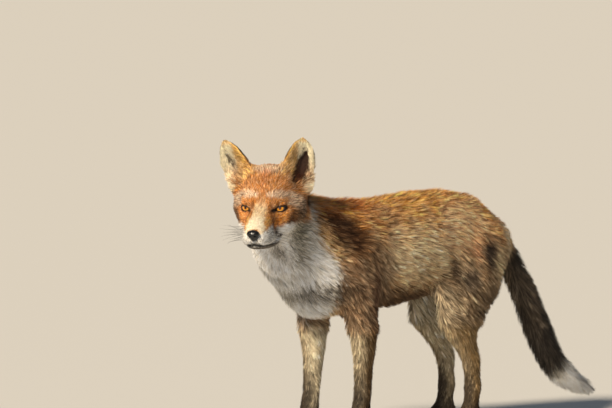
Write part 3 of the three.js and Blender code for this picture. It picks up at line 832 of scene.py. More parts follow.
# %% [markdown]
# The face carries the finest markings: a pale bridge with tawny sides, white lips and cheeks, a dark
# lip line, bright rufous round the eyes, pale grizzled brows, and a dark line from the inner corner of
# each eye down the side of the muzzle. Each is a patch or a stroke in the head's frame, and the right
# half mirrors the left.

# %% Places of the face's markings
GRIZZLE = linear("#dfc2aa")
ORANGE = linear("#e07f26")
# Each patch: colour, amount, place and radii.
EAR_ROOTS = [
    (OCHRE, 0.85, (38, 52, 42), (15, 16, 16)),  # in front of the ear
    (OCHRE, 0.60, (26, 42, 50), (9, 12, 9)),  # between the ear and the crown
    (CREAM, 0.75, (67, 56, 20), (12, 16, 15)),  # below the ear
]
WARM_PATCHES = [
    (ORANGE, 0.90, (33, 4, 10), (14, 12, 5)),  # above the eye
    (ORANGE, 0.95, (35, -6, -9), (15, 17, 10)),  # below the eye
    (ORANGE, 0.90, (27, -22, -17), (8, 12, 10)),  # from there down to the lips
    # The brown inside the eye's inner corner is partly painted shade, in the hollow between brow and bridge.
    (linear("#7d5233"), 0.70, (15, -18, 6), (5, 12, 9)),  # inside the eye's inner corner
    (OCHRE, 0.65, (16, -58, -7), (6, 22, 7)),  # side of the muzzle
]
# These dark patches of the cheek are partly the fox's own brown and grey hair and partly painted shade, on
# the side of the face away from the light; the olive below the ear is painted shade.
CHEEK_DARKS_AND_SHADE = [
    (linear("#3a2616"), 0.95, (50, 18, -20), (13, 22, 11)),  # cheek behind the eye
    (linear("#3a2616"), 0.85, (44, 2, -23), (8, 11, 6)),  # over the white of the cheek
    (UMBER, 0.50, (50, 12, -7), (7, 9, 8)),  # outer corner of the eye
    (linear("#463d30"), 0.95, (60, 38, -18), (17, 28, 21)),  # olive cheek below the ear
    (linear("#75705f"), 0.75, (50, 34, -50), (20, 26, 22)),  # jaw's corner
]
BROW = [(10, -8, 24), (26, 3, 21), (43, 18, 10), (56, 34, -4), (60, 46, -18)]
BROW_WIDTHS = (5, 8, 13, 14, 12)
CROWN = [(0, 40, 56), (14, 44, 54)]
BLAZE = [(0, -12, 26), (0, 14, 43), (0, 32, 54)]
WHITE_CHEEK = [(27, -22, -33), (38, -11, -31), (50, 8, -33)]
TEAR_LINE = [(19, -28, 1), (20, -34, -8), (22, -38, -20), (23, -28, -33)]
EYE_CORNER = [(19, -8, 0), (18, -19, 1), (18.5, -28, 1)]
# Painted shadow of the jaw on the throat's left side.
JAW_SHADOW_ON_THROAT = [(12, 6, -70), (15, 16, -84), (23, 22, -98)]
NOSE_GROOVE = [(0, -98, -26), (0, -84, -37)]
# The left ear turns its bare hollow to the viewer, and hair half covers the right one's. The left hollow is
# painted darker as painted shade, and the right one paler as painted light.
HOLLOW_SKIN_LIT_AND_SHADED = {"left": linear("#280c06"), "right": linear("#4c3b31")}
WHISKER_ROWS = [[(21, -66, -22), (24, -36, -34)], [(20, -66, -27), (25, -36, -39)]]


# %% [markdown]
# Grizzled hair mixes pale and dark hairs one by one, so there the colour is broken by flecks about as
# fine as the hair. The face is painted from its ground up: first the brows and the rusty forehead.

# %% Brows, forehead and the warm colours round the eyes
HAIR_FLECK = 3.4  # size of the finest flecks


def brow_colours(tone, points, face, ragged, fine):
    """Here and below, face holds the points in the head's frame, mirrored to its left."""
    brow = 1 - ramp(to_stroke(face, BROW, BROW_WIDTHS) + 0.12 * ragged, 0.6, 1.25)
    crown = 1 - ramp(to_stroke(face, CROWN, (16, 12)), 0.6, 1.3)
    tone = paint(tone, GRIZZLE, np.maximum(0.92 * brow, 0.8 * crown) * (0.5 + 0.5 * fine))
    tone = paint(tone, UMBER, 0.75 * np.maximum(brow, 0.7 * crown) * fleck(points, HAIR_FLECK, 33, 0.3))
    forehead = ramp(face[:, 2], 16, 30)
    tone = paint(tone, GRIZZLE, 0.3 * forehead * fleck(points, HAIR_FLECK, 36, 0.4))
    return paint(tone, UMBER, 0.5 * forehead * fleck(points, HAIR_FLECK, 37, 0.2))


def warm_colours(tone, points, face, fine):
    for colour, amount, place, radii in WARM_PATCHES:
        tone = paint(tone, colour, amount * patch(face, place, radii, 0.5))
    blaze = 1 - ramp(to_stroke(face, BLAZE, (3, 5, 9)), 0.4, 1.4)
    tone = paint(tone, RUST, 0.6 * blaze * (0.4 + 0.6 * fine))
    rusty = patch(face, (32, -8, -4), (20, 26, 22), 0.4)
    tone = paint(tone, CREAM, 0.4 * rusty * fleck(points, 3.2, 39, 0.25))
    return paint(tone, UMBER, 0.5 * rusty * fleck(points, 3.2, 40, 0.3))


# %% [markdown]
# The pale bridge widens from between the eyes to the nose. White runs from the lips back over the
# lower cheek, and towards the jaw's corner grey and olive paint stands for the shade on that side of the
# face.

# %% Bridge of the muzzle, and white of the lips and cheeks
def bridge_colours(tone, face, up, ragged):
    x, y, _ = face.T
    half = 4 + 5 * ramp(-y, 5, 25) + 5 * ramp(-y, 40, 80)
    bridge = (1 - ramp(x - half + 1.6 * ragged, -2.5, 5)) * ramp(-y, 6, 30) * ramp(up, -0.1, 0.4)
    tone = paint(tone, linear("#ecc9a0"), 0.88 * bridge)
    return paint(tone, linear("#f6e2c2"), 0.8 * bridge * ramp(-y, 35, 65))


def cheek_colours(tone, points, face, ragged, fine):
    x, y, z = face.T
    lips = ramp(-z + ragged, 12 + 3 * ramp(-y, 70, 85), 18) * ramp(-y, 34, 50)
    cheek = ramp(-z - 0.35 * (y - 5).clip(0) * ramp(x, 30, 45) + 2 * ragged, 22, 31)
    stripe = 1 - ramp(to_stroke(face, WHITE_CHEEK, (4, 6, 5)) + 0.15 * ragged, 0.7, 1.3)
    tone = paint(tone, WHITE, np.maximum.reduce([0.95 * lips, 0.92 * cheek, 0.9 * stripe]))
    # Painted shade: the rear of the cheek is painted grey and smoky.
    behind = cheek * ramp(y, 8, 36) * ramp(x, 25, 45)
    tone = paint(tone, linear("#7d7868"), 0.8 * behind)
    tone = paint(tone, SMOKE, 0.7 * behind * fleck(points, 5, 34, 0.4))
    # Dark brown of the cheek, partly painted shade.
    for colour, amount, place, radii in CHEEK_DARKS_AND_SHADE:
        tone = paint(tone, colour, amount * (0.55 + 0.45 * fine) * patch(face, place, radii, 0.5))
    streaked = np.maximum(0.6 * lips, patch(face, (22, -68, -30), (9, 17, 8), 0.5))
    return paint(tone, linear("#4c4842"), 0.85 * streaked * fleck(points, 4, 38, 0.5))


# %% [markdown]
# Last come the dark lines: the rows where the whiskers stand, the line from the eye down the muzzle,
# the painted shade of the chin and the jaw's painted shadow on the throat, and the black edges of the lips
# and the eyes.

# %% Dark lines of the face
def dark_lines(tone, points, face, fine):
    for row in WHISKER_ROWS:
        dots = fleck(points, 5, 35, 0.7) * (1 - ramp(to_stroke(face, row), 1, 2.6))
        tone = paint(tone, SMOKE, 0.85 * dots)
    tear = 1 - ramp(to_stroke(face, TEAR_LINE, (3, 4, 4, 5)), 0.4, 1.5)
    tone = paint(tone, UMBER, tear * (0.45 + 0.4 * fine))
    tone = paint(tone, BLACK, 0.85 * patch(face, (24, -28, -33), (5, 6, 4), 0.5))
    # Painted shade: the chin below the mouth is painted dark, as shade under the upper lip.
    below_mouth = -face[:, 2] - 37 - 0.16 * (face[:, 1] + 84).clip(0)
    tone = paint(tone, linear("#40352a"), 0.9 * ramp(below_mouth, 1, 4) * ramp(-face[:, 1], 8, 28))
    # The jaw's shadow on the throat is painted on, on the left only, where it falls.
    jaw_shadow = 1 - ramp(to_stroke(in_head(points), JAW_SHADOW_ON_THROAT, (13, 14, 9)), 0.4, 1.3)
    return paint(tone, linear("#3f3527"), 0.9 * jaw_shadow * (0.6 + 0.4 * fleck(points, 6, 9, 0.5)))


def black_edges(tone, points, face):
    tone = paint(tone, BLACK, 0.95 * (1 - ramp(to_stroke(face, MOUTH, LIP_WIDTHS), 0.7, 1.4)))
    tone = paint(tone, BLACK, 0.9 * (1 - ramp(to_stroke(face, NOSE_GROOVE), 1, 2.6)))
    tone = paint(tone, BLACK, 0.9 * patch(face, (28, -20, -41), (5, 9, 4), 0.5))
    for side, place in eye_place.items():
        u, v, out = ((points - place) @ eye_axes(side).T).T
        rim = (1 - ramp(slit(u, v) ** 0.6, 1.25, 1.75)) * ramp(out, 0, 3)
        tone = paint(tone, BLACK, 0.95 * rim)
    return paint(tone, BLACK, 0.95 * (1 - ramp(to_stroke(face, EYE_CORNER, (4.2, 3.8, 2.0)), 0.7, 1.3)))


def in_hollow(points, side):
    """1 in the bare hollow of an ear, falling to 0 at its edges."""
    return 1 - ramp(to_stroke(in_head(points), *EAR_HOLLOW[side]), 0.8, 1.3)


# %% The face as a whole
def face_colours(points, normals):
    face = folded(in_head(points))
    up = (normals @ head_z).clip(-1, 1)
    ragged = waves(points, 7, 31)
    fine = fleck(points, HAIR_FLECK, 32, 0.55)
    tone = np.tile(linear("#b36c2a"), (len(face), 1))
    for colour, amount, place, radii in EAR_ROOTS:
        tone = paint(tone, colour, amount * patch(face, place, radii, 0.5))
    tone = brow_colours(tone, points, face, ragged, fine)
    tone = warm_colours(tone, points, face, fine)
    tone = bridge_colours(tone, face, up, ragged)
    tone = cheek_colours(tone, points, face, ragged, fine)
    tone = dark_lines(tone, points, face, fine)
    tone = black_edges(tone, points, face)
    # The hollows' bare skin: darker on the left as painted shade, paler on the right as painted light.
    for side in SIDES:
        tone = paint(tone, HOLLOW_SKIN_LIT_AND_SHADED[side], 0.97 * in_hollow(points, side))
    return tone


# %% [markdown]
# A red fox's ears are black behind. In front they are cream at the outer edge and ochre at the inner
# edge and the tip, round the dark hollow, whose walls turn so far to the side that they need a wider
# test of which way they face.

# %% Markings of the ears
def ear_colours(points, normals, side):
    ear = ear_nodes[side]
    from_base = points - ear["base"]
    up = from_base @ ear["up"] / np.linalg.norm(ear["tip"] - ear["base"])
    out = from_base @ ear["out"]
    faces_front = ramp(normals @ ear["front"], -0.15, 0.35)
    backs = paint(np.tile(linear("#a8672e"), (len(points), 1)), BLACK, 0.92 * ramp(up, 0.1, 0.4))
    inside = np.tile(linear("#e6d7b4"), (len(points), 1))
    ochre = linear("#d99a3e")
    inside = paint(inside, ochre, 0.9 * (1 - ramp(out + 5 * (1 - up), -14, -6)))
    inside = paint(inside, ochre, 0.7 * ramp(up, 0.72, 0.95))
    inside = paint(inside, SMOKE, 0.45 * fleck(points, HAIR_FLECK, 41, 0.35))
    tone = backs + faces_front[:, None] * (inside - backs)
    # Painted shade in the left hollow and painted light in the right.
    hollow = in_hollow(points, side) * ramp(normals @ ear["front"], -0.75, -0.35)
    return paint(tone, HOLLOW_SKIN_LIT_AND_SHADED[side], 0.97 * hollow)


# %% [markdown]
# The whole coat's colour blends these over the regions. The throat and the chest are white in front
# of a ragged border that runs down from the jaw's corner, and a dusky band crosses the chest.

# %% Colour of the whole coat
DARKEST, PALEST = 0.004, 0.92  # limits of the light that real hair sends back


def chest_colours(tone, points, mirrored, membership):
    _, y, z = points.T
    border = -240 + 45 * ramp(-z, -345, -270) + 6 * waves(points, 15, 7)
    white = (1 - ramp(y - border, -10, 10)) * ramp(-z, -392, -366)
    tone = paint(tone, WHITE, 0.95 * white * (1 - share_of(membership, "forearm", "forepaw")))
    band = patch(mirrored, beside_spine("trunk", 0.85, 0.09, 0.24), (66, 60, 17), 0.5)
    return paint(tone, linear("#352b22"), 0.95 * band * (0.7 + 0.3 * fleck(points, 11, 8, 0.6)))


def coat_colours(points, normals, membership):
    """The colour of the coat, in linear red, green and blue."""
    tone, mirrored = body_colours(points, normals)
    tone = leg_colours(tone, points, normals, membership)
    neck = share_of(membership, "neck")
    tone = paint(tone, linear("#a87a48"), 0.65 * neck * ramp(-normals[:, 2], -0.75, -0.3))
    # The neck's dark side: partly darker fur, partly the head's painted shadow.
    shade = 1 - ramp(to_stroke(mirrored, NECK_SHADE, (17, 31, 33)), 0.5, 1.4)
    tone = paint(tone, linear("#2e190e"), 0.95 * shade * ramp(-normals[:, 2], -0.85, -0.5))
    for colour, amount, node, share, radii in BODY_PATCHES:
        tone = paint(tone, colour, amount * patch(mirrored, beside_spine(node, *share), radii, 0.5))
    tone = chest_colours(tone, points, mirrored, membership)
    tone = tail_colours(tone, points, normals, membership)
    head = share_of(membership, "head", "lower_jaw", "ear")
    tone += head[:, None] * (face_colours(points, normals) - tone)
    for side in SIDES:
        share = share_of(membership, f"ear_{side}")[:, None]
        tone += share * (ear_colours(points, normals, side) - tone)
    return tone.clip(DARKEST, PALEST)


# %% [markdown]
# The skin wears the coat's colours as the underfur that shows between the tufts, a little darker.

# %% Colour the skin
def store_colours(mesh, colours):
    layer = mesh.attributes.new("coat", "FLOAT_COLOR", "POINT")
    full = np.ones((len(colours), 4), np.float32)
    full[:, :3] = colours
    layer.data.foreach_set("color", full.ravel())


UNDER = 0.8  # underfur is darker than the tips
store_colours(skin.data, UNDER * coat_colours(inner, smooth_normals, membership))
skin.data.materials.append(underfur)
choose(skin)
bpy.ops.object.shade_smooth()
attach(skin, ROOT)
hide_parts(*FLESH)
print("The skin is painted, and stands for", len(FLESH), "solids of flesh")

# %% [markdown]
# ## The coat
# Blender's own hair is curves or particles, which are lost when a model is exported as meshes, so the
# coat is solid tufts. A tuft is a slim straight spike, closed, with three sides. It starts just under
# the skin, follows the lie of the coat, and ends near the height of the solids. Many thousand of them
# overlap, so the outline breaks up into hair, and each belongs to a lock, whose tips lean together.
# They are rooted at random on the skin's triangles, because a grid would show.

# %% Find the ground for tufts
rng = np.random.default_rng(20)
skin_tree = BVHTree.FromPolygons(inner.tolist(), skin_triangles.tolist())
corner_points = inner[skin_triangles]
facing = np.cross(corner_points[:, 1] - corner_points[:, 0], corner_points[:, 2] - corner_points[:, 0])
triangle_area = np.linalg.norm(facing, axis=1) / 2
triangle_member = membership[skin_triangles].mean(1)
triangle_part = np.array([part_of(name) for name in FLESH])[triangle_member.argmax(1)]
triangle_middle = corner_points.mean(1)
triangle_head = in_head(triangle_middle)


def ground(points):
    """For each point: the nearest place on the skin, the skin's normal and the lie of the coat."""
    found = [skin_tree.find_nearest(p) for p in points.tolist()]
    place = np.array([f[0] for f in found])
    corner = skin_triangles[np.array([f[2] for f in found])]
    return place, unit(smooth_normals[corner].mean(1)), unit(lie[corner].mean(1))


def bare(points):
    """True where no hair grows: in an eye's opening, on the lips' edges and deep in the ears."""
    shut = (to_stroke(folded(in_head(points)), MOUTH, LIP_WIDTHS) < 0.8) | (to_hollow(points) < 0.62)
    for side, place in eye_place.items():
        u, v, out = ((points - place) @ eye_axes(side).T).T
        shut |= (slit(u, v) < 1.28) & (out > 0) & (distance(points, place) < 14)
    return shut


print("The coat stands on", len(skin_triangles), "triangles of skin")

# %% [markdown]
# An operator for each spike would take hours, so a piece's spikes are built at once, from arrays. Each
# has four triangles, a colour at its root and its tip, and a UV map for baking, on which its small
# patch lies where its root does on the skin.

# %% Build tufts from arrays
PATCH = 0.003  # width of a tuft's patch on its unwrap
OWN_SHADE = 0.4  # share of a tuft's own roundness in its shading


def spikes(name, roots, tips, facing, colours, places):
    """A mesh of closed three-sided spikes.
    roots: (n, 3, 3) corners of their bases; tips: (n, 3); facing: the skin's normal at each;
    colours: (n, 2, 3) at root and tip; places: (n, 2) on the unwrap."""
    count = len(tips)
    points = np.concatenate([roots, tips[:, None]], axis=1).reshape(-1, 3)
    faces = np.array([(0, 2, 1), (0, 1, 3), (1, 2, 3), (2, 0, 3)]).ravel()
    # A tuft unrolls to three strips side by side over a sliver for its base.
    uv = [(0.0, 0.0), (0.5, 0.1), (1.0, 0.0)]
    for left in (0, 1 / 3, 2 / 3):
        uv += [(left, 0.12), (left + 1 / 3, 0.12), (left + 1 / 6, 1.0)]
    index = (np.arange(count)[:, None] * 4 + faces).ravel().astype(np.int32)
    mesh = bpy.data.meshes.new(name)
    mesh.vertices.add(len(points))
    mesh.loops.add(len(index))
    mesh.polygons.add(len(index) // 3)
    mesh.loops.foreach_set("vertex_index", index)
    mesh.polygons.foreach_set("loop_start", np.arange(0, len(index), 3, dtype=np.int32))
    put_points(mesh, points)
    store_colours(mesh, colours[:, [0, 0, 0, 1]].reshape(-1, 3))
    layer = mesh.uv_layers.new(name="OFBake")
    corner_uv = (np.array(uv) - 0.5) * PATCH
    layer.data.foreach_set("uv", (places[:, None] + corner_uv).astype(np.float32).ravel())
    mesh.polygons.foreach_set("use_smooth", np.ones(len(index) // 3, bool))
    mesh.validate()
    mesh.update()
    # Hair shades softly, so a tuft's own roundness is blended with the way that the body faces.
    own = unit(roots - roots.mean(1, keepdims=True))
    facing = facing[:, None]
    shading = unit(OWN_SHADE * np.concatenate([own, facing], axis=1) + (1 - OWN_SHADE) * facing)
    mesh.normals_split_custom_set_from_vertices(shading.reshape(-1, 3))
    o = bpy.data.objects.new(name, mesh)
    bpy.context.scene.collection.objects.link(o)
    o.data.materials.append(guard_hair)
    return o


EDGE = 0.004  # kept free along the sides of the unwrap


def unwrapped(points):
    """A place on an unwrap of the skin for each root: columns by how far along the piece's longest
    side it lies, and within a column by the angle round it, spread evenly over the square."""
    low, high = points.min(0), points.max(0)
    middle = (low + high) / 2
    axis = int(np.argmax(high - low))
    other = [i for i in range(3) if i != axis]
    along = points[:, axis]
    around = np.arctan2(points[:, other[0]] - middle[other[0]], points[:, other[1]] - middle[other[1]])
    count = len(points)
    columns = max(1, round(math.sqrt(count)))
    order = np.argsort(along, kind="stable")
    uv = np.empty((count, 2))
    for c, column in enumerate(np.array_split(order, columns)):
        column = column[np.argsort(around[column], kind="stable")]
        uv[column, 0] = (c + 0.5) / columns
        uv[column, 1] = (np.arange(len(column)) + 0.5) / len(column)
    return EDGE + (1 - 2 * EDGE) * uv


# %% [markdown]
# Hair of one lock shares its shade, so the coat breaks into light and dark streaks that run with it.
# Agouti guard hairs are dark at the root, banded, and now and then black or cream at the tip.

# %% Roots and locks
LOWEST = 0.6  # no tip comes nearer to the floor
ROOTED = 0.8  # how far under the skin a tuft starts


def scatter(chosen, count):
    """Random roots on the chosen triangles, denser where the hair is short: their places, and the
    skin's normal, the lie of the coat and the memberships there."""
    picked = np.flatnonzero(chosen)
    short = coat_shape(triangle_middle[picked], triangle_member[picked])[1]
    weight = triangle_area[picked] / short
    triangle = picked[rng.choice(len(picked), count, p=weight / weight.sum())]
    a, b = rng.random(count), rng.random(count)
    fold = a + b > 1
    a[fold], b[fold] = 1 - a[fold], 1 - b[fold]
    share = np.column_stack([1 - a - b, a, b])[:, :, None]
    root, normal, along, member = (
        (values[skin_triangles[triangle]] * share).sum(1)
        for values in (inner, smooth_normals, lie, membership)
    )
    keep = ~bare(root)
    return root[keep], unit(normal[keep]), unit(along[keep]), member[keep]


def leaders(root, lock):
    """For each root, the nearest of the roots that lead a lock, about one in every so many."""
    count = len(root)
    guides = rng.choice(count, max(1, count // lock), replace=False)
    tree = KDTree(len(guides))
    for i, g in enumerate(guides):
        tree.insert(root[g], i)
    tree.balance()
    return guides[np.array([tree.find(p)[1] for p in root.tolist()])]


# %% Shades of the tufts
GREY = np.array([0.30, 0.59, 0.11])  # how bright red, green and blue look


def shades_of(tone, guide, contrast, grizzle):
    """Each tuft's colour at its root and at its tip. A share of the tips is dark or cream."""
    count = len(tone)
    calm = 1 - 0.35 * ramp(tone @ GREY, 0.4, 0.75)  # white hair varies less
    spread = rng.normal(0, contrast, count)[guide] + rng.normal(0, contrast * 0.7, count)
    tone = tone * np.exp(calm * spread)[:, None]
    luminous = (tone @ GREY)[:, None]
    dark = (rng.random(count) < grizzle * 0.6)[:, None] & (luminous < 0.5)
    pale = (rng.random(count) < grizzle)[:, None] * ramp(luminous, 0.02, 0.3)
    end = np.where(dark, tone * 0.35, tone * 1.15 + 0.5 * pale * (CREAM - tone).clip(0))
    return np.stack([tone * 0.55, end], axis=1).clip(0, 0.95)


# %% [markdown]
# A piece of coat joins these steps. A tuft takes its colour from where it is seen, which is beyond
# its root and a little to the side, so the markings fall in their places with ragged edges.

# %% Grow a piece of coat
def grow(
    name,
    chosen,
    count,
    lock=8,  # tufts in a lock
    clump=0.55,  # how far they lean to their leader
    contrast=0.40,  # how much their shades differ
    grizzle=0.34,  # share of them with pale tips
    longer=1.0,
    lift=0.0,  # millimetres higher above the skin
    seen_at=0.6,  # where along it a tuft takes its colour
    slot="russet_coat",
):
    """Grows one piece of coat on the skin's chosen triangles."""
    root, normal, along, member = scatter(chosen, count)
    count = len(root)
    depth, length, width = coat_shape(root, member)
    length = length * longer * rng.uniform(0.75, 1.15, count)
    width = width * rng.uniform(0.75, 1.25, count)
    height = depth * rng.uniform(0.55, 1.05, count) + 0.8 * share_of(member, "ear") + lift
    turn = 0.20 * waves(root, 46, 5) + 0.12 * waves(root, 17, 6) + rng.normal(0, 0.09, count)
    along = along * np.cos(turn)[:, None] + np.cross(normal, along) * np.sin(turn)[:, None]
    tip, up, _ = ground(root + along * length[:, None])
    tip = tip + up * height[:, None]
    # At a thin edge the nearest skin may be the wall's other side, and there a tuft stays short.
    across = ((up * normal).sum(1) < 0)[:, None]
    tip = np.where(across, root + 0.5 * along * length[:, None] + normal * height[:, None], tip)

    guide = leaders(root, lock)
    offset = np.linalg.norm(root - root[guide], axis=1)
    tip = tip + (clump * (offset < 0.6 * length))[:, None] * (tip[guide] - tip)
    tip[:, 2] = np.maximum(tip[:, 2], LOWEST)

    base = root - ROOTED * normal
    side = unit(np.cross(normal, tip - base)) * (0.4 * width)[:, None]
    ridge = normal * (0.28 * width)[:, None]
    corners_of_base = np.stack([base - side, base + side, base + ridge], axis=1)
    seen = root + (seen_at * along + rng.normal(0, 0.12, (count, 3))) * length[:, None]
    shades = shades_of(coat_colours(seen, normal, member), guide, contrast, grizzle)
    o = spikes(name, corners_of_base, tip, normal, shades, unwrapped(root))
    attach(o, ROOT)
    print(f"{name}: {count} tufts, {len(o.data.polygons)} triangles")


# %% [markdown]
# Each piece keeps under 200,000 triangles. The face gets the most and finest tufts for its size, with
# even shades, and the body's longer coat falls in larger locks with more contrast.

# %% Choose the skin and grow the coat of the head
def on(*parts):
    return np.isin(triangle_part, parts)


front_of_head = triangle_head[:, 1] < 22
muzzle = triangle_head[:, 1] < -18
close_haired = {"lock": 7, "clump": 0.3, "contrast": 0.34, "grizzle": 0.18}
grow("coat_muzzle", (on("head") & muzzle) | on("lower_jaw"), 27000, **close_haired)
grow("coat_brow", on("head") & front_of_head & ~muzzle, 36000, **close_haired | {"grizzle": 0.3})
grow("coat_cheeks", on("head") & ~front_of_head, 30000)
grow("coat_ears", on("ear"), 22000, **close_haired)

# %% [markdown]
# Long pale hairs stand at the edges of each ear's hollow and lean in over it.

# %% Fringe of the ears
triangle_normal = unit(smooth_normals[skin_triangles].mean(1))
faces_front = np.zeros(len(triangle_part), bool)
for ear in ear_nodes.values():
    faces_front |= triangle_normal @ ear["front"] > 0.25
near_hollow = to_hollow(triangle_middle)
beside_hollow = (near_hollow > 1.05) & (near_hollow < 2.5) & (triangle_head[:, 2] > 20)
fringe = on("ear", "head") & faces_front & beside_hollow
grow("coat_ear_fringe", fringe, 6400, contrast=0.15, grizzle=0.9, longer=1.35, lift=1.6, seen_at=-0.2)

# %% Coat of the body
grow("coat_neck", on("neck"), 36000, lock=10, contrast=0.5)
left_half = triangle_middle[:, 0] > SPINE
grow("coat_left_flank", on("trunk") & left_half, 46000, lock=10, contrast=0.48)
grow("coat_right_flank", on("trunk") & ~left_half, 44000, lock=10, contrast=0.48)
grow("coat_shoulders", on("upper_fore"), 29000, contrast=0.5, slot="grizzled_coat")
grow("coat_haunches", on("thigh"), 33000, contrast=0.5, slot="grizzled_coat")
grow("coat_forelegs", on("forearm", "forepaw"), 20000, lock=6, slot="grizzled_coat")
grow("coat_hindlegs", on("shank", "hindpaw"), 20000, lock=6, slot="grizzled_coat")
grow("coat_brush", on("tail", "tail_tip"), 27000, slot="grizzled_coat")

# %% [markdown]
# ## Eyes
# A fox's eye is an amber iris with a dark rim and an upright oval pupil behind a clear, wet cornea.
# A cornea could be a glass shell over a painted disc, but a transparent shell is easily lost in an
# export. So the ball is one sphere whose front bulges a little. A UV map laid flat over its front, in
# units of the iris's radius, carries the iris, and a clear coat gives the wet shine.

# %% Eye material
IRIS_RADIUS = 7.3
MAP_REACH = 4.0  # the Iris map spans this many iris radii
eye_material = new_material("Cornea over amber iris")
iris_map = add(eye_material, "UVMap", uv_map="Iris")
centred = add(eye_material, "Mapping", {"Vector": iris_map.outputs[0], "Location": (-0.5, -0.5, 0)})
scaled = add(eye_material, "VectorMath", operation="SCALE")
eye_material.node_tree.links.new(centred.outputs[0], scaled.inputs[0])
scaled.inputs["Scale"].default_value = MAP_REACH
far = add(eye_material, "VectorMath", {0: scaled.outputs[0]}, operation="LENGTH")
iris_ramp = add(eye_material, "ValToRGB", {"Fac": far.outputs["Value"]})
IRIS_BANDS = [
    (0.0, "#6b3409"),
    (0.34, "#9c5813"),
    (0.58, "#dc9a2c"),
    (0.78, "#bd741d"),
    (0.90, "#4a240b"),
    (1.0, "#0b0706"),
]
elements = iris_ramp.color_ramp.elements
elements[0].position, elements[0].color = IRIS_BANDS[0][0], rgba(IRIS_BANDS[0][1])
elements[1].position, elements[1].color = IRIS_BANDS[-1][0], rgba(IRIS_BANDS[-1][1])
for position, colour in IRIS_BANDS[1:-1]:
    elements.new(position).color = rgba(colour)

# %% The pupil, and the finish of the eye
OVAL = (1.5, 0.95, 1.0)  # makes the pupil narrower than it is high
squeezed = add(eye_material, "VectorMath", {0: scaled.outputs[0], 1: OVAL}, operation="MULTIPLY")
pupil_far = add(eye_material, "VectorMath", {0: squeezed.outputs[0]}, operation="LENGTH")
pupil = add(
    eye_material,
    "MapRange",
    {"Value": pupil_far.outputs["Value"], "From Min": 0.30, "From Max": 0.36},
)
eye_mix = add(eye_material, "Mix", data_type="RGBA")  # its inputs 6 and 7 are the two colours
eye_material.node_tree.links.new(pupil.outputs["Result"], eye_mix.inputs["Factor"])
eye_mix.inputs[6].default_value = rgba("#050404")
eye_material.node_tree.links.new(iris_ramp.outputs["Color"], eye_mix.inputs[7])
surface(
    eye_material,
    {
        "Base Color": eye_mix.outputs[2],
        "Roughness": 0.4,
        "Specular IOR Level": 0.15,
        "Coat Weight": 1.0,
        "Coat Roughness": 0.04,
        "Coat IOR": 1.36,
    },
)


# %% Model the eyes
def model_eye(side):
    gaze = unit(np.array([0.22 * SIDES[side], -0.94, 0.24]) @ head_axes)
    up = unit(head_z - head_z.dot(gaze) * gaze)
    across = np.cross(up, gaze)
    deselect()
    bpy.ops.mesh.primitive_uv_sphere_add(segments=48, ring_count=32, radius=1)
    eye = bpy.context.object
    eye.name = eye.data.name = f"eyeball_{side}"
    ball = points_of(eye.data) * MM  # a ball of radius 1, its pole along Z
    bulge = 1 + 0.05 * ramp(ball[:, 2], 0.62, 0.98)
    local = ball * (EYE_RADIUS * bulge)[:, None]
    put_points(eye.data, eye_place[side] + local @ np.array([across, up, gaze]))
    layer = eye.data.uv_layers.active or eye.data.uv_layers.new()
    layer.name = "Iris"
    index = np.empty(len(eye.data.loops), np.int32)
    eye.data.loops.foreach_get("vertex_index", index)
    flat = local[index, :2] / IRIS_RADIUS
    flat[local[index, 2] < 0] *= 4  # keeps the iris off the ball's back
    layer.data.foreach_set("uv", (0.5 + flat / MAP_REACH).astype(np.float32).ravel())
    eye.data.materials.append(eye_material)
    choose(eye)
    bpy.ops.object.shade_smooth()
    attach(eye, ROOT)
    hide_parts(f"eye_{side}")
    print(eye.name, "looks along", gaze.round(2))


for side in SIDES:
    model_eye(side)

# %% [markdown]
# The edge of each lid is bare black skin, moist enough for a faint shine. Paint on the skin alone
# would look ragged so close to the eye. So it is a piece of its own that starts as a torus, whose ring
# is laid on the slit's outline where it meets the ball, thicker above, with the inner corner drawn
# out towards the nose.

# %% Lid rims
bare_skin = new_material("Bare lid skin, moist")
surface(
    bare_skin,
    {"Base Color": rgba("#120d0b"), "Roughness": 0.55, "Specular IOR Level": 0.3},
)
RIM_STEPS, RIM_SIDES = 72, 10
RING = 0.25  # thickness of the torus before it is shaped


def smooth_closed(o):
    """Turns all faces of a closed piece outwards and shades it smooth."""
    choose(o)
    bpy.ops.object.mode_set(mode="EDIT")
    bpy.ops.mesh.select_all(action="SELECT")
    bpy.ops.mesh.normals_make_consistent(inside=False)
    bpy.ops.object.mode_set(mode="OBJECT")
    bpy.ops.object.shade_smooth()


def skin_height(side, flat):
    """How far out of the socket the skin stands at places given along and across the slit."""
    along, up, out = eye_axes(side)
    heights = []
    for u, v in flat:
        start = eye_place[side] + u * along + v * up + 40 * out
        hit = skin_tree.ray_cast(start.tolist(), (-out).tolist())[0]
        heights.append((np.array(hit) - eye_place[side]) @ out if hit else 0.0)
    return np.array(heights)


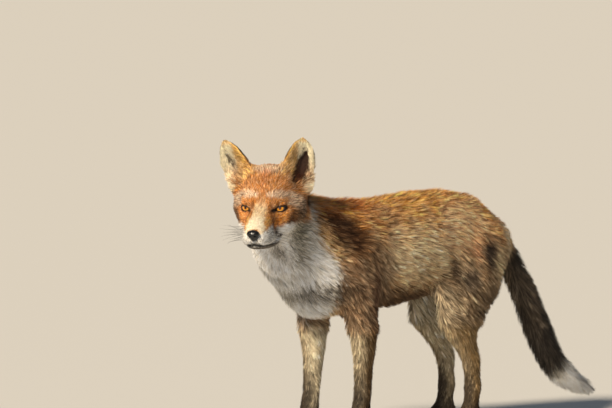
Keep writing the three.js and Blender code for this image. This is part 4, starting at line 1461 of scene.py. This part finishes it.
# %% Model the lid rims
def model_rim(side):
    deselect()
    bpy.ops.mesh.primitive_torus_add(
        major_segments=RIM_STEPS, minor_segments=RIM_SIDES, major_radius=1, minor_radius=RING
    )
    rim = bpy.context.object
    rim.name = rim.data.name = f"lid_rim_{side}"
    ring = points_of(rim.data) * MM  # a ring of radius 1
    turn = np.arctan2(ring[:, 1], ring[:, 0])
    u, v = np.cos(turn), np.sin(turn)
    height = np.where(v > 0, SLIT_TOP, SLIT_BOTTOM)
    reach = (np.abs(u) ** SLIT_POWER + np.abs(v) ** SLIT_POWER) ** (-1 / SLIT_POWER)
    path = np.column_stack([u * reach * SLIT_HALF, v * reach * height])
    # The corners are drawn out, the inner one further, and the rim is thinner there.
    corner, outer_corner = ramp(-u, 0.80, 1.0), ramp(u, 0.85, 1.0)
    path += corner[:, None] * (-3.6, -0.6) + outer_corner[:, None] * (1.4, -0.4)
    ball = np.sqrt((EYE_RADIUS**2 - (path**2).sum(1)).clip(0)) + 0.5
    centre = np.column_stack([path, np.maximum(ball, skin_height(side, path) + 0.2)])
    outward = np.column_stack([u / SLIT_HALF, v / height, np.zeros(len(u))])
    outward = unit(outward)
    thick = np.where(v > 0, 1.2, 0.85) * (1 - 0.3 * corner - 0.3 * outer_corner)
    spread = (np.hypot(ring[:, 0], ring[:, 1]) - 1) / RING
    lift = ring[:, 2] / RING
    local = centre + outward * (spread * thick)[:, None]
    local[:, 2] += lift * thick * 0.8
    put_points(rim.data, eye_place[side] + local @ eye_axes(side))
    rim.data.materials.append(bare_skin)
    smooth_closed(rim)
    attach(rim, ROOT)


for side in SIDES:
    model_rim(side)

# %% [markdown]
# ## Nose
# The nose pad is bare, moist and finely pebbled, with comma-shaped nostrils that open to the sides and
# a groove down its middle. Its wet film gives small glints. Nostrils could be cut by a Boolean, which
# leaves sharp edges, so the pad is remeshed finely from its solid, and they are pressed in.

# %% Nose leather
nose_leather = new_material("Nose leather, moist")
pebble_place = add(nose_leather, "TexCoord")
PEBBLE = 0.9 * MM  # about the width of a real pebble of the pad
pebbles = add(
    nose_leather,
    "TexVoronoi",
    {"Vector": pebble_place.outputs["Object"], "Scale": 1 / PEBBLE},
    feature="SMOOTH_F1",
)
pebble_bump = add(
    nose_leather,
    "Bump",
    {"Height": pebbles.outputs["Distance"], "Strength": 0.5, "Distance": 0.25 * MM},
    invert=True,
)
surface(
    nose_leather,
    {
        "Base Color": rgba("#0d0b0a"),
        "Normal": pebble_bump.outputs["Normal"],
        "Roughness": 0.3,
        "Specular IOR Level": 0.35,
        "Coat Weight": 0.3,
        "Coat Roughness": 0.12,
    },
)

# %% Model the nose
NOSE_CELL = 0.55 * MM
NOSTRIL_DEPTH, GROOVE_DEPTH = 2.6, 0.8
nose = copied("nose_pad", ["nose"], 0.0)
apply(nose, "REMESH", mode="VOXEL", voxel_size=NOSE_CELL)
apply(nose, "SMOOTH", factor=0.5, iterations=10)
pad = points_of(nose.data)
pad_normals = normals_of(pad, triangles_of(nose.data))
local = in_head(pad) - in_head(nose_place[None])[0]
local[:, 0] = np.abs(local[:, 0])
NOSTRIL = [(3.4, -9, 1.2), (5.2, -8, -0.6), (8.4, -5, -1.6), (10.5, -2, -0.6)]
# Depth counts little in the distance to a nostril, so that it is cut as deep all along its comma.
FLAT = (1, 0.3, 1)
nostril = to_stroke(local * FLAT, np.array(NOSTRIL) * FLAT)
groove = local[:, 0] + 3 * ramp(local[:, 2], -1, 4)
in_front = -local[:, 1]
pressed = NOSTRIL_DEPTH * (1 - ramp(nostril, 0.7, 2.1)) * ramp(in_front, 0, 3)
pressed += GROOVE_DEPTH * (1 - ramp(groove, 0.2, 1.2)) * ramp(in_front, 2, 5)
put_points(nose.data, pad - pad_normals * pressed[:, None])
nose.data.materials.append(nose_leather)
choose(nose)
bpy.ops.object.shade_smooth()
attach(nose, ROOT)
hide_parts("nose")
print("The nose pad has", len(nose.data.polygons), "faces")

# %% [markdown]
# ## Whiskers
# Whiskers are stiff dark hairs that stand in four rows on each side of the muzzle, smoother and
# glossier than the coat. A bevelled curve would keep one thickness. So each starts as a thin cone that
# is laid along an arc swept back, and is shortened if it would leave the model's box.

# %% Rows of whiskers
whisker_hair = new_material("Whisker, keratin")
surface(whisker_hair, {"Base Color": rgba("#1c1512"), "Roughness": 0.45})
WHISKER_THICK = 0.28  # radius at the root
BOX_SPARE = 9  # how far a whisker may reach beyond the solids' box
ROW_HEIGHTS = (-17, -22, -27, -32)
FRONT, STEP, SLANT = -72, 8, 2  # the first whisker of a row, the step to the next, and each row's setback
WHISKERS = []  # each: root, first and last direction in the head's frame, and length
for row, z in enumerate(ROW_HEIGHTS):
    for number in range(4):
        y = FRONT + STEP * number + SLANT * row
        first, last = (0.95, -0.25, 0.05 - 0.05 * row), (0.55, 0.8, -0.1 - 0.12 * row)
        WHISKERS.append(((20, y, z), first, last, 26 + 0.9 * (y + 74)))
print(len(WHISKERS), "whiskers stand on each side")


def fine_cone(vertices, point, cuts):
    """A cone of radius 1 and height 1 on the origin, cut across, and its points."""
    deselect()
    bpy.ops.mesh.primitive_cone_add(
        vertices=vertices, radius1=1, radius2=point, depth=1, location=(0, 0, 0.5)
    )
    o = bpy.context.object
    bpy.ops.object.transform_apply(location=True, rotation=True, scale=True)
    bpy.ops.object.mode_set(mode="EDIT")
    bpy.ops.mesh.select_all(action="SELECT")
    bpy.ops.mesh.subdivide(number_cuts=cuts)
    bpy.ops.object.mode_set(mode="OBJECT")
    return o, points_of(o.data) * MM


# %% Model the whiskers
def model_whisker(side, root, first, last, long):
    flip = np.array((SIDES[side], 1, 1))
    start = ground(from_head(*(flip * root))[None])[0][0]
    first, last = (
        unit(np.array(way, float) * flip + rng.normal(0, 0.12, 3)) @ head_axes for way in (first, last)
    )
    long *= rng.uniform(0.7, 1.15)
    low, high = (np.array(c) / MM for c in cad_box)
    while True:
        end = start + long * (0.55 * first + 0.45 * last)
        if np.all(end > low - BOX_SPARE) and np.all(end < high + BOX_SPARE):
            break
        long *= 0.9
    hair, cone = fine_cone(6, 0.15, 5)
    t = cone[:, 2:3]
    across = unit(np.cross(first, head_z))
    over = np.cross(across, first)
    middle = start + long * (t * first + 0.45 * t**2 * (last - first))
    put_points(hair.data, middle + WHISKER_THICK * (cone[:, :1] * across + cone[:, 1:2] * over))
    return hair


for side in SIDES:
    hairs = [model_whisker(side, *whisker) for whisker in WHISKERS]
    choose(*hairs)
    bpy.ops.object.join()
    whiskers = bpy.context.object
    whiskers.name = whiskers.data.name = f"whiskers_{side}"
    whiskers.data.materials.append(whisker_hair)
    smooth_closed(whiskers)
    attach(whiskers, ROOT)
    print(whiskers.name, len(whiskers.data.polygons), "faces")

# %% [markdown]
# ## Claws
# A claw is a blunt curved cone of dark horn, dull from wear, in soft darker and paler layers. Bend
# needs a window, so each claw is a cone whose points are laid on an arc, and it takes the place of
# its faceted solid.

# %% Claw horn
HORN_GRAIN = 2 * MM  # coarser than real layers of horn, so that it shows
horn = new_material("Claw horn, keratin")
horn_place = add(horn, "TexCoord")
horn_grain = add(
    horn,
    "TexNoise",
    {"Vector": horn_place.outputs["Object"], "Scale": 1 / HORN_GRAIN, "Detail": 2.0},
)
horn_colour = add(horn, "ValToRGB", {"Fac": horn_grain.outputs["Fac"]})
horn_colour.color_ramp.elements[0].color = rgba("#1d1713")
horn_colour.color_ramp.elements[1].color = rgba("#4b3c2f")
surface(horn, {"Base Color": horn_colour.outputs["Color"], "Roughness": 0.4})


# %% Model the claws
CLAW_ARC = 1.25  # how far a claw turns down from root to point, in radians


def model_claw(node):
    low, high = corners(node)
    middle, reach = (low + high) / 2, high - low
    claw, cone = fine_cone(12, 0.12, 4)
    claw.name = claw.data.name = node.replace("claw", "horn")
    t = cone[:, 2].clip(0, 1)
    radius = 0.42 * reach[0]
    # The claw leaves the toe level and bends down to its point.
    forward = reach[1] * np.sin(t * CLAW_ARC) / math.sin(CLAW_ARC)
    drop = (reach[2] - radius) * (1 - np.cos(t * CLAW_ARC)) / (1 - math.cos(CLAW_ARC))
    shape = np.column_stack(
        [
            middle[0] + cone[:, 0] * radius * 0.8,
            high[1] - forward,
            high[2] - radius - drop * 0.9 + cone[:, 1] * radius,
        ]
    )
    put_points(claw.data, shape)
    claw.data.materials.append(horn)
    smooth_closed(claw)
    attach(claw, ROOT)
    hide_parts(node)


for end, side in LEGS:
    for number in (1, 2, 3, 4):
        model_claw(f"claw_{end}_{side}_{number}")
print("The paws have", 4 * len(LEGS), "claws")

# %% [markdown]
# ## Stage, light and camera
# A pale floor of matt paper takes a soft shadow and gives no shine. A warm key light comes from the
# viewer's upper left, and a pale surround fills the shade. The camera looks from in front of the fox's
# left side, a little above the level, from far away with a long lens, as an animal is usually seen.

# %% Camera
AZIMUTH, ELEVATION = math.radians(50), math.radians(4)
CAMERA_FAR = 16.0
FRAME_WIDTH = 1.01  # how much of the fox the view takes in, in metres
AIM_ACROSS, AIM_UP = -0.178, 0.371  # the view's middle, from the model's origin
SENSOR = 36.0
view_right = Vector((math.cos(AZIMUTH), math.sin(AZIMUTH), 0))
view_back = Vector(
    (
        math.sin(AZIMUTH) * math.cos(ELEVATION),
        -math.cos(AZIMUTH) * math.cos(ELEVATION),
        math.sin(ELEVATION),
    )
)
view_up = view_back.cross(view_right)
deselect()
bpy.ops.object.camera_add()
camera = bpy.context.object
camera.matrix_world = Matrix.Translation(
    view_right * AIM_ACROSS + view_up * AIM_UP + view_back * CAMERA_FAR
) @ Matrix((view_right, view_up, view_back)).transposed().to_4x4()
camera.data.sensor_width = SENSOR
camera.data.lens = SENSOR * CAMERA_FAR / FRAME_WIDTH
camera.data.clip_end = 200
bpy.context.scene.camera = camera
print("The camera stands", CAMERA_FAR, "m away, with a lens of", round(camera.data.lens), "mm")

# %% Floor
deselect()
bpy.ops.mesh.primitive_circle_add(vertices=96, radius=60, fill_type="NGON", location=(0, 0, -0.0002))
floor = bpy.context.object
floor.name = "floor"
paper = new_material("Studio paper, matt")
surface(paper, {"Base Color": rgba("#d2cfc9"), "Roughness": 0.9})
floor.data.materials.append(paper)
floor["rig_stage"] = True


# %% [markdown]
# The small second lamp is there for the eyes. A wet eye is dead without a glint, so the lamp stands
# where its reflection falls on the eye, near the middle of the ball's front.

# %% Lights
def towards_fox(lamp, across, up, back):
    """Aims a lamp at the fox from a direction given in the view's own axes."""
    place = view_right * across + Vector((0, 0, up)) + view_back * back
    lamp.location = place
    lamp.rotation_euler = (place - Vector((0, 0, 0.25))).to_track_quat("Z", "Y").to_euler()


deselect()
bpy.ops.object.light_add(type="SUN")
key = bpy.context.object
key.name = "key"
key.data.energy = 5.6
key.data.angle = math.radians(10)
key.data.color = linear("#fff0d8")
towards_fox(key, -1.35, 1.95, 2.35)

deselect()
bpy.ops.object.light_add(type="AREA")
fill = bpy.context.object
fill.name = "fill"
fill.data.shape = "DISK"
fill.data.size = 0.42
fill.data.energy = 9
fill.data.color = linear("#e4edff")
gaze = Vector(unit(np.array([0, -0.94, 0.24]) @ head_axes))
glint = (gaze + 0.12 * view_right + 0.08 * view_up).normalized()
fill_way = 2 * glint.dot(view_back) * glint - view_back
FILL_FAR = 2.8
towards_fox(fill, *(FILL_FAR * fill_way.dot(axis) for axis in (view_right, Vector((0, 0, 1)), view_back)))

# %% Surround
world = bpy.data.worlds.new("surround")
world.use_nodes = True
world.node_tree.nodes["Background"].inputs["Color"].default_value = rgba("#cad8ea")
world.node_tree.nodes["Background"].inputs["Strength"].default_value = 0.22
bpy.context.scene.world = world
bpy.context.scene.view_settings.view_transform = "Standard"

# %% Measure and finish
visual_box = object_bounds()
for name, (low, high) in {"CAD": cad_box, "Visual": visual_box}.items():
    print(name, [round(v / MM, 1) for v in (*low, *high)])
